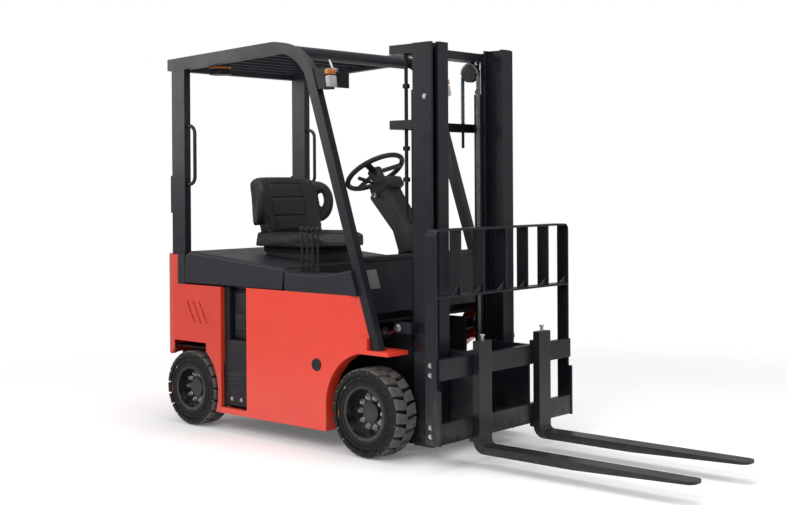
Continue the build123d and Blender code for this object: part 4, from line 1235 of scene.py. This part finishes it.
@dataclass
class LeafChains:
    """Leaf chains over the pulleys: plates in turn, with a pin at each pitch."""

    pulley_x: float = 0.106
    wrap_r: float = 0.0524
    chain_y: float = 0.196
    top: float = 1.983
    front_low: float = 0.330
    rear_low: float = 1.715
    lift: float = 1.5
    pitch: float = 0.0191
    plate_t: float = 0.0032
    plate_half: float = 0.0058
    plate_end: float = 0.0085
    first_pin: float = 0.009
    pin_half: float = 0.0118
    pin_r: float = 0.0032

    def plate(self, x: float, y: float, z: float) -> Piece:
        """One waisted link plate that spans two pins.

        Args:
            x: the middle of the plate.
            y: the middle of the plate.
            z: the height of its lower pin.

        Returns:
            The plate.
        """
        obj = cube("plate", (x - self.plate_half, y - self.plate_t / 2, z - self.plate_end),
                   (x + self.plate_half, y + self.plate_t / 2, z + self.pitch + self.plate_end))
        waist = z + self.pitch / 2
        edit(obj, whole=True)
        bpy.ops.mesh.bisect(plane_co=(0, 0, waist), plane_no=(0, 0, 1))
        pick(obj, lambda p, n: abs(p.z - waist) < NEAR)
        bpy.ops.transform.resize(value=(0.72, 1, 1), center_override=(x, y, waist))
        close()
        return soften(obj, 0.0032, 1, 80.0)

    def run(self, name: str, x: float, low: float) -> Piece:
        """Both straight runs of one kind, from a low end up to the pulleys.

        Args:
            name: the piece's name.
            x: the run's place.
            low: the height of its lower end.

        Returns:
            The runs as one mesh.
        """
        runs = []
        steps = [low + self.first_pin + k * self.pitch for k in range(2)]
        for side in SIDES.values():
            y = side * self.chain_y
            parts = [self.plate(x, y + k * 2 * self.plate_t, z)
                     for z, row in zip(steps, ((-1.5, -0.5, 0.5, 1.5), (-1, 0, 1))) for k in row]
            parts += [rod("pin", (x, y - self.pin_half, z), (x, y + self.pin_half, z), self.pin_r, 10) for z in steps]
            runs.append(join(f"{name}_{side}", parts))
        count = int((self.top - low) / (2 * self.pitch))
        return apply(join(name, runs), "ARRAY", count=count, use_relative_offset=False, use_constant_offset=True,
                     constant_offset_displace=(0, 0, (self.top - low - 0.014) / count))

    def build(self) -> None:
        """Builds the front runs, which shorten with the lift, and the rear runs, which grow."""
        front = self.run("chain_front_links", self.pulley_x + self.wrap_r, self.front_low)
        rear = self.run("chain_rear_links", self.pulley_x - self.wrap_r, self.rear_low)
        dress(front, Finish.CHAIN, "mast_inner")
        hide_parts("chain_front")
        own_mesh(front)
        paint(rear, Finish.CHAIN)
        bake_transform(rear)
        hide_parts("chain_rear")
        LOG.info("chain_rear_links: %d faces between the masts", len(rear.data.polygons))


@dataclass
class Bolts:
    """Hexagon heads on washers, all facing one way."""

    name: str
    body: str
    places: Sequence[Point]
    axis: Point
    radius: float = 0.011
    height: float = 0.008

    def head(self, place: Point) -> Piece:
        """One washer with its hexagon head.

        Args:
            place: the middle of the washer's seat.

        Returns:
            The bolt head.
        """
        seat, way = Vector(place), Vector(self.axis)
        washer = rod("washer", seat - way * 0.002, seat + way * self.height * 0.3, self.radius * 1.25, 20)
        cap = rod("cap", seat + way * self.height * 0.2, seat + way * self.height, self.radius, 6)
        return join("bolt", [washer, soften(cap, self.radius * 0.1, 1, 20.0)])

    def build(self) -> None:
        """Builds the group as one piece."""
        dress(join(self.name, [self.head(place) for place in self.places]), Finish.STEEL, self.body)


@dataclass
class Lamps:
    """Lenses on the work lamps, the rear lamps and the beacon, and the mirrors' glass and arms."""

    front_x: float = -0.316
    front_run: float = 0.1636
    front_top: float = 2.000
    front_y: Span = (0.441, 0.504)
    front_panes: Sequence[tuple[float, float, Finish]] = ((1.897, 1.958, Finish.CLEAR), (1.963, 1.993, Finish.AMBER))
    rear_x: float = -1.595
    rear_y: Span = (0.474, 0.501)
    rear_half: float = 0.004
    rear_panes: Sequence[tuple[float, float, Finish]] = (
        (1.236, 1.300, Finish.RED_LENS), (1.305, 1.368, Finish.AMBER), (1.373, 1.437, Finish.CLEAR))
    mirror_x: float = -0.351
    mirror_y: Span = (0.432, 0.300)
    mirror_z: Span = (1.913, 1.982)
    mirror_half: float = 0.002
    arm_y: float = 0.395
    clamp_half: float = 0.016
    beacon: Point = (-1.346, -0.330, 2.060)

    def face(self, z: float) -> float:
        """X of the work lamps' leaning front at a height."""
        return self.front_x + (self.front_top - z) * self.front_run

    def pane(self, side: int, low: float, high: float, finish: Finish) -> Piece:
        """One lens on a work lamp's front.

        Args:
            side: -1 for the right lamp and 1 for the left.
            low: the lens's lower edge.
            high: the lens's upper edge.
            finish: the lens's finish.

        Returns:
            The lens.
        """
        y0, y1 = sorted(side * each for each in self.front_y)
        corners = [(self.face(z), y, z) for y, z in ((y0, low), (y1, low), (y1, high), (y0, high))]
        return paint(soften(slab("pane", corners, (0.026, 0, 0.004)), 0.006, 3), finish)

    def tail(self, side: int, low: float, high: float, finish: Finish) -> Piece:
        """One lens of a rear lamp, placed as pane places its own."""
        x = (self.rear_x - self.rear_half, self.rear_x + self.rear_half)
        return paint(soften(flank("tail", side, x, self.rear_y, (low, high)), 0.003), finish)

    def glass(self, side: int) -> Piece:
        """The glass of one side's mirror."""
        x = (self.mirror_x - self.mirror_half, self.mirror_x + self.mirror_half)
        return soften(flank("glass", side, x, self.mirror_y, self.mirror_z), 0.0015, 1)

    def arm(self, side: int) -> list[Piece]:
        """The arm and the clamp of one side's mirror."""
        x, y = self.mirror_x, side * self.arm_y
        arm = rod("arm", (x + 0.008, y, 1.978), (x - 0.030, y, 2.052), 0.007, 14)
        clamp = cube("clamp", (x - 0.004, y - self.clamp_half, 1.985), (x + 0.020, y + self.clamp_half, 2.006))
        return [arm, soften(clamp, 0.003)]

    def rings(self) -> list[Piece]:
        """The beacon's lit band and the dish under it."""
        x, y, z = self.beacon
        band = rod("beacon_band", (x, y, z + 0.010), (x, y, z + 0.021), 0.0640, 40)
        dish = rod("beacon_dish", (x, y, z - 0.024), (x, y, z - 0.004), 0.0665, 40)
        return [paint(soften(band, 0.002), Finish.AMBER), paint(soften(dish, 0.006, 3), Finish.LAMP_CASE)]

    def build(self) -> None:
        """Builds the lenses, glass and arms of both sides."""
        sides = SIDES.values()
        panes = [self.pane(side, *row) for side in sides for row in self.front_panes]
        tails = [self.tail(side, *row) for side in sides for row in self.rear_panes]
        glass = [self.glass(side) for side in sides]
        dress(join("work_lamp_lenses", panes), None, "chassis")
        dress(join("rear_lamp_lenses", tails), None, "chassis")
        dress(join("mirror_glass", glass), Finish.CHROME, "chassis")
        dress(join("beacon_rings", self.rings()), None, "chassis")
        arms = [part for side in sides for part in self.arm(side)]
        dress(join("mirror_arms", arms), Finish.STEEL, "chassis")


@dataclass
class Steering:
    """Hub cap on the hand wheel; shroud, stalks and key on the column."""

    centre: Point = (-0.418, 0.0, 1.457)
    lean: float = 34.0
    shroud_half: float = 0.064
    shroud: Sequence[Span] = ((-0.066, -0.040), (-0.066, 0.062), (-0.100, 0.105), (-0.155, 0.105), (-0.165, -0.035),
                              (-0.120, -0.058))

    @property
    def up(self) -> Vector:
        """The shaft's direction."""
        angle = math.radians(self.lean)
        return Vector((-math.sin(angle), 0, math.cos(angle)))

    def at(self, along: float, forward: float = 0.0, y: float = 0.0) -> Vector:
        """A point given along the shaft, forward of it and to the left."""
        across = Vector((self.up.z, 0, -self.up.x))
        return Vector(self.centre) + self.up * along + across * forward + Vector((0, y, 0))

    def stalk(self, side: int) -> Piece:
        """One column stalk with its grip.

        Args:
            side: -1 for the right stalk and 1 for the left.

        Returns:
            The stalk.
        """
        root, elbow, tip = (self.at(along, forward, side * y) for along, forward, y in (
            (-0.085, 0, 0.05), (-0.070, 0.01, 0.10), (-0.048, 0.01, 0.172)))
        arm = rod("arm", root, elbow, 0.0075, 14)
        grip = rod("grip", elbow - (tip - elbow) * 0.08, tip, 0.0105, 18)
        return join("stalk", [arm, soften(grip, 0.004, 3)])

    def build(self) -> None:
        """Builds the pieces on the wheel, then those on the column."""
        cap = soften(rod("hub_cap", self.at(-0.004), self.at(0.014), 0.041, 40), 0.007, 4)
        sink(cap, lambda p, n: n.dot(self.up) > FLAT, 0.006, 0.003)
        dress(cap, Finish.CONTROL, "steering_wheel")
        corners = [tuple(self.at(along, forward, -self.shroud_half)) for along, forward in self.shroud]
        shroud = soften(slab("column_shroud", corners, (0, 2 * self.shroud_half, 0)), 0.016, 4, 30.0)
        parts = [shroud, *(self.stalk(side) for side in SIDES.values())]
        column = join("column_controls", [paint(part, Finish.CONTROL) for part in parts])
        dress(column, None, "chassis")
        lock = rod("key_barrel", self.at(-0.140, -0.02, -0.050), self.at(-0.140, -0.02, -0.074), 0.013, 20)
        blade = cube("key", (0, 0, 0), (0.003, 0.030, 0.018))
        blade.location = self.at(-0.147, -0.022, -0.103)
        soften(settle(blade), 0.001, 1)
        dress(join("key_switch", [lock, blade]), Finish.STEEL, "chassis")


@dataclass
class ColumnCover:
    """Slim moulded cover over the steering column, with the bracket behind the cowl."""

    top_half: float = 0.056
    low_half: float = 0.086
    top: float = 1.399
    low: float = 0.997
    outline: Sequence[Span] = (
        (-0.411, 1.311), (-0.352, 1.399), (-0.290, 1.399), (-0.246, 1.325), (-0.106, 1.128), (-0.100, 1.027),
        (-0.169, 0.997), (-0.228, 1.131))
    bracket_half: float = 0.078
    bracket: Sequence[Span] = (
        (-0.113, 0.976), (-0.040, 0.760), (-0.100, 0.760), (-0.187, 1.026), (-0.127, 1.040))

    def build(self) -> None:
        """Builds the cover with its sides drawn in towards the wheel."""
        cover = slab("cover", [(x, -self.low_half, z) for x, z in self.outline], (0, 2 * self.low_half, 0))
        for vertex in cover.data.vertices:
            share = (vertex.co.z - self.low) / (self.top - self.low)
            vertex.co.y *= 1.0 + share * (self.top_half / self.low_half - 1.0)
        soften(cover, 0.016, 4, 25.0)
        sink(cover, lambda p, n: n.x > 0.5 and n.z > 0.3 and 1.14 < p.z < 1.32, 0.012, 0.003)
        corners = [(x, -self.bracket_half, z) for x, z in self.bracket]
        bracket = soften(slab("bracket", corners, (0, 2 * self.bracket_half, 0)), 0.006, 2, 25.0)
        shaft = rod("shaft", (-0.386, 0, 1.409), (-0.140, 0, 1.045), 0.040, 24)
        obj = dress(join("column_moulding", [cover, bracket, shaft]), Finish.CONTROL, "chassis")
        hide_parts("steering_column")


@dataclass
class MastPipe:
    """An oil pipe clipped behind an outer rail, from the upper tie down to a port on the rail."""

    side: int
    across: float = 0.301
    x: float = 0.079
    port_x: float = 0.160
    top: float = 2.058
    low: float = 1.240
    bend: float = 0.05
    radius: float = 0.0095
    clips: Sequence[float] = (1.40, 1.56, 1.88)

    def build(self) -> None:
        """Builds the pipe and its clips."""
        x, y = self.x, self.side * self.across
        elbow = [(x + self.bend * (1 - math.cos(a)), y, self.low - self.bend * math.sin(a)) for a in QUARTER]
        points = [(x, y, self.top), *elbow, (self.port_x, y, self.low - self.bend)]
        parts = [tube("pipe", points, self.radius, 3)]
        parts += [soften(cube("clip", (x - 0.016, y - 0.013, z), (x + 0.016, y + 0.013, z + 0.024)), 0.005)
                  for z in self.clips]
        dress(join(f"mast_pipes_{side_name(self.side)}", parts), Finish.PAD, "mast_outer")


@dataclass
class SeatBellows:
    """Folded rubber skirt round the seat base."""

    rear: float = -1.133
    front: float = -0.712
    half: float = 0.192
    low: float = 1.000
    high: float = 1.033
    folds: int = 3

    def build(self) -> None:
        """Builds the folds from rounded rings of equal height."""
        step = (self.high - self.low) / self.folds
        feet = [self.low + k * step for k in range(self.folds)]
        folds = [soften(cube("fold", (self.rear, -self.half, z), (self.front, self.half, z + step)), step * 0.48, 3)
                 for z in feet]
        dress(join("seat_bellows", folds), Finish.PAD, "hood")


@dataclass
class Liners:
    """Black liners: over the steered wheels, under the rear edge and at the back of the battery slots."""

    strip_low: Point = (-1.690, -0.350, 0.362)
    strip_high: Point = (-1.676, 0.350, 0.410)
    house: tuple[Span, Span, Span] = ((-1.580, -1.160), (0.130, 0.498), (0.446, 0.454))
    slot: tuple[Span, Span, Span] = ((-1.1195, -1.078), (0.420, 0.5035), (0.142, 0.814))

    def build(self) -> None:
        """Builds the liners of both sides as one piece."""
        parts = [cube("rear_strip", self.strip_low, self.strip_high)]
        for side in SIDES.values():
            parts += [flank("house", side, *self.house), flank("slot", side, *self.slot)]
        dress(join("body_liners", [soften(part, 0.002, 1) for part in parts]), Finish.PAD, "chassis")


@dataclass
class GuardTubes:
    """Bent grab handles on the rear posts and the wide header tube of the roof."""

    post_x: float = -1.459
    out: float = 0.068
    across: float = 0.4875
    low: float = 1.395
    high: float = 1.735
    bend: float = 0.045
    radius: float = 0.0105
    header: Point = (-0.591, 0.462, 2.106)
    header_r: float = 0.034

    def handle(self, side: int) -> Piece:
        """One handle with rounded corners.

        Args:
            side: -1 for the right post and 1 for the left.

        Returns:
            The handle.
        """
        y, foot, bend = side * self.across, self.post_x - 0.01, self.bend
        middle = self.post_x + self.out - bend
        upper = [(middle + bend * math.sin(a), y, self.high - bend + bend * math.cos(a)) for a in QUARTER]
        lower = [(middle + bend * math.cos(a), y, self.low + bend - bend * math.sin(a)) for a in QUARTER]
        return tube("handle", [(foot, y, self.high), *upper, *lower, (foot, y, self.low)], self.radius, 4)

    def build(self) -> None:
        """Builds the handles and the header."""
        handles = join("bent_grab_handles", [self.handle(side) for side in SIDES.values()])
        dress(handles, Finish.FRAME_BLACK, "chassis")
        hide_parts("grab_handles")
        x, y, z = self.header
        header = rod("roof_header", (x, -y, z), (x, y, z), self.header_r, 32)
        dress(header, Finish.FRAME_BLACK, "chassis")


@dataclass
class ForkPins:
    """Short latch pins with turned heads on the forks' upper hooks."""

    x: float = 0.527
    across: float = 0.254
    foot: float = 0.610
    high: float = 0.648
    head_low: float = 0.639

    def build(self) -> None:
        """Builds both pins in place of the plain ones."""
        parts = []
        for side in SIDES.values():
            foot, neck, top = ((self.x, side * self.across, z) for z in (self.foot, self.head_low, self.high))
            parts += [rod("shank", foot, top, 0.008, 20), soften(rod("head", neck, top, 0.0125, 20), 0.002)]
        pins = dress(join("fork_latch_pins", parts), Finish.STEEL, "carriage")
        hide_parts("fork_pins")


@dataclass
class Gussets:
    """Flared feet of the backrest's uprights on its shelf."""

    half: float = 0.563
    bar: float = 0.010
    count: int = 7
    x: float = 0.468
    shelf: float = 0.848
    reach: float = 0.062
    rise: float = 0.044

    def build(self) -> None:
        """Builds one foot to each upright."""
        feet = []
        for k in range(1, self.count):
            y = -self.half + self.bar / 2 + k * (2 * self.half - self.bar) / (self.count - 1)
            corners = [(self.x, y - out, self.shelf + up) for out, up in ((0, 0), (self.reach, 0), (0, self.rise))]
            feet.append(soften(slab("foot", corners, (self.bar, 0, 0)), 0.0015, 1))
        dress(join("upright_feet", feet), Finish.MAST_BLACK, "carriage")


@dataclass
class BatteryFace:
    """Cover in the battery slot: louvres below, a plug box above, two screws at the foot."""

    side: int
    face: float = 0.468
    rear: float = -1.060
    case_rear: float = -1.100
    case_out: float = 0.042
    front: float = -0.912
    louvres: Sequence[float] = (0.225, 0.247, 0.269, 0.291, 0.313)
    louvre_high: float = 0.012
    screw_in: float = 0.055
    screw_z: float = 0.190

    def plate(self, name: str, x: Span, z: Span, depth: float, round_by: float) -> Piece:
        """A rounded plate on the battery's side that stands out by a depth."""
        return soften(flank(name, self.side, x, (self.face - 0.002, self.face + depth), z), round_by)

    def build(self) -> None:
        """Builds the cover and its screws."""
        rear, case, front, out = self.rear, self.case_rear, self.front, self.case_out
        rows = [
            self.plate("cover", (rear, front), (0.530, 0.785), 0.010, 0.003),
            self.plate("case", (case, front), (0.148, 0.520), out, 0.010),
            self.plate("grille", (case + 0.018, front - 0.016), (0.165, 0.335), out + 0.003, 0.008),
            *(self.plate("louvre", (case + 0.034, front - 0.032), (z, z + self.louvre_high), out + 0.008, 0.003)
              for z in self.louvres),
            self.plate("plug_box", (rear + 0.026, front - 0.022), (0.575, 0.665), 0.030, 0.008),
            self.plate("plug_lid", (rear + 0.034, front - 0.030), (0.586, 0.654), 0.036, 0.006)]
        name = side_name(self.side)
        dress(join(f"battery_cover_{name}", rows), Finish.CONTROL, "chassis")
        y = self.side * (self.face + out + 0.003)
        places = [(x, y, self.screw_z) for x in (case + self.screw_in, front - self.screw_in)]
        Bolts(f"battery_screws_{name}", "chassis", places, (0, self.side, 0), 0.009, 0.006).build()


@dataclass
class Trim:
    """Panel plug, blank plate on the cowl, and lever boots."""

    plug: Point = (-0.355, -0.530, 0.446)
    plug_r: float = 0.033
    plate_y: Span = (-0.455, -0.375)
    plate_z: Span = (0.852, 0.948)
    levers: int = 4
    lever_x: float = -0.501
    lever_y: float = -0.430
    lever_step: float = 0.040
    boot_z: Span = (0.914, 0.950)
    boot_r: float = 0.0165

    def cowl_x(self, z: float) -> float:
        """X of the cowl's leaning front at a height."""
        return 0.058 - 0.470 * (z - FENDER_TOP) / (2.000 - FENDER_TOP)

    def boot(self, number: int) -> Piece:
        """The tapered boot of one lever, counted from the rear."""
        x, (low, high) = self.lever_x + (number - (self.levers - 1) / 2) * self.lever_step, self.boot_z
        boot = rod("boot", (x, self.lever_y, low), (x, self.lever_y, high), self.boot_r, 20)
        edit(boot)
        pick(boot, lambda p, n: p.z > high - 0.005)
        bpy.ops.transform.resize(value=(0.55, 0.55, 1), center_override=(x, self.lever_y, high))
        close()
        return soften(boot, 0.003)

    def build(self) -> None:
        """Builds the small pieces of the body."""
        x, y, z = self.plug
        plug = soften(rod("panel_plug", (x, y + 0.004, z), (x, y - 0.007, z), self.plug_r, 40), 0.004, 3)
        sink(plug, lambda p, n: n.y < -FLAT, 0.007, 0.003)
        dress(plug, Finish.CONTROL, "chassis")
        (y0, y1), (low, high) = self.plate_y, self.plate_z
        corners = [(self.cowl_x(z), y, z) for y, z in ((y0, low), (y1, low), (y1, high), (y0, high))]
        plate = soften(slab("cowl_blank_plate", corners, (0.002, 0, 0.0006)), 0.0008, 1)
        dress(plate, Finish.PLATE, "chassis")
        boots = [self.boot(k) for k in range(self.levers)]
        dress(join("lever_boots", boots), Finish.PAD, "chassis")


@dataclass
class BoredBackrest:
    """The load backrest with its side bolts let into round pockets, so that no head stands past its sides."""

    x: float = 0.444
    half: float = 0.563
    heights: Sequence[float] = (0.175, 0.218, 0.470, 0.517)
    bore: float = 0.0165
    depth: float = 0.0085

    def copy(self) -> Piece:
        """A merged copy of the backrest's solid, free of its body."""
        activate(frame["nodes"]["load_backrest"])
        bpy.ops.object.duplicate()
        obj = bpy.context.object
        obj.name = obj.data.name = "load_backrest_bored"
        obj.parent = None
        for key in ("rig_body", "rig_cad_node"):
            del obj[key]
        edit(obj, whole=True)
        bpy.ops.mesh.remove_doubles(threshold=0.00001)
        close()
        return obj

    def build(self) -> None:
        """Cuts the pockets and sets a bolt in each."""
        obj, floor, past_face = self.copy(), self.half - self.depth, self.half + 0.01
        bores = [rod("bore", (self.x, side * floor, z), (self.x, side * past_face, z), self.bore, 28)
                 for side in SIDES.values() for z in self.heights]
        dress(carve(obj, join("bores", bores)), Finish.MAST_BLACK, "carriage")
        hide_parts("load_backrest")
        for name, side in SIDES.items():
            seats = [(self.x, side * floor, z) for z in self.heights]
            Bolts(f"carriage_bolts_{name}", "carriage", seats, (0, side, 0)).build()


class NodeDresser:
    """Gives each carried-over solid the finish of its slot."""

    def build(self) -> None:
        """Assigns the finishes."""
        rows = frame["record"]["subparts"]
        for row in rows:
            paint(frame["nodes"][row["node"]], NODE_FINISH.get(row["node"], SLOT_FINISH[row["material_slot"]]))
        LOG.info("dressed %d solids", len(rows))


def main() -> None:
    """Builds the studio and every piece."""
    logging.basicConfig(level=logging.INFO, format="%(name)s: %(message)s")
    Studio().build()
    NodeDresser().build()
    for side in SIDES.values():
        Wheel("front", side, 0.229, 0.165, 0.538, 0.140, 0.468, FRONT_AXLE_X).build()
        Wheel("rear", side, 0.216, 0.145, 0.535, 0.128, 0.470, REAR_AXLE_X, lugs=19).build()
    for kind in (Seat, LeafChains, Lamps, Steering, ColumnCover, SeatBellows, Liners, GuardTubes, ForkPins, Gussets,
                 Trim, BoredBackrest):
        kind().build()
    for name, side in SIDES.items():
        BatteryFace(side).build()
        MastPipe(side).build()
        way = (0, side, 0)
        Bolts(f"mast_bolts_{name}", "mast_outer", [(0.239, side * 0.345, 1.831)], way).build()
        Bolts(f"tilt_pin_cap_{name}", "mast_outer", [(0.104, side * 0.403, 0.660)], way, 0.017, 0.009).build()


if __name__ == "__main__":
    main()
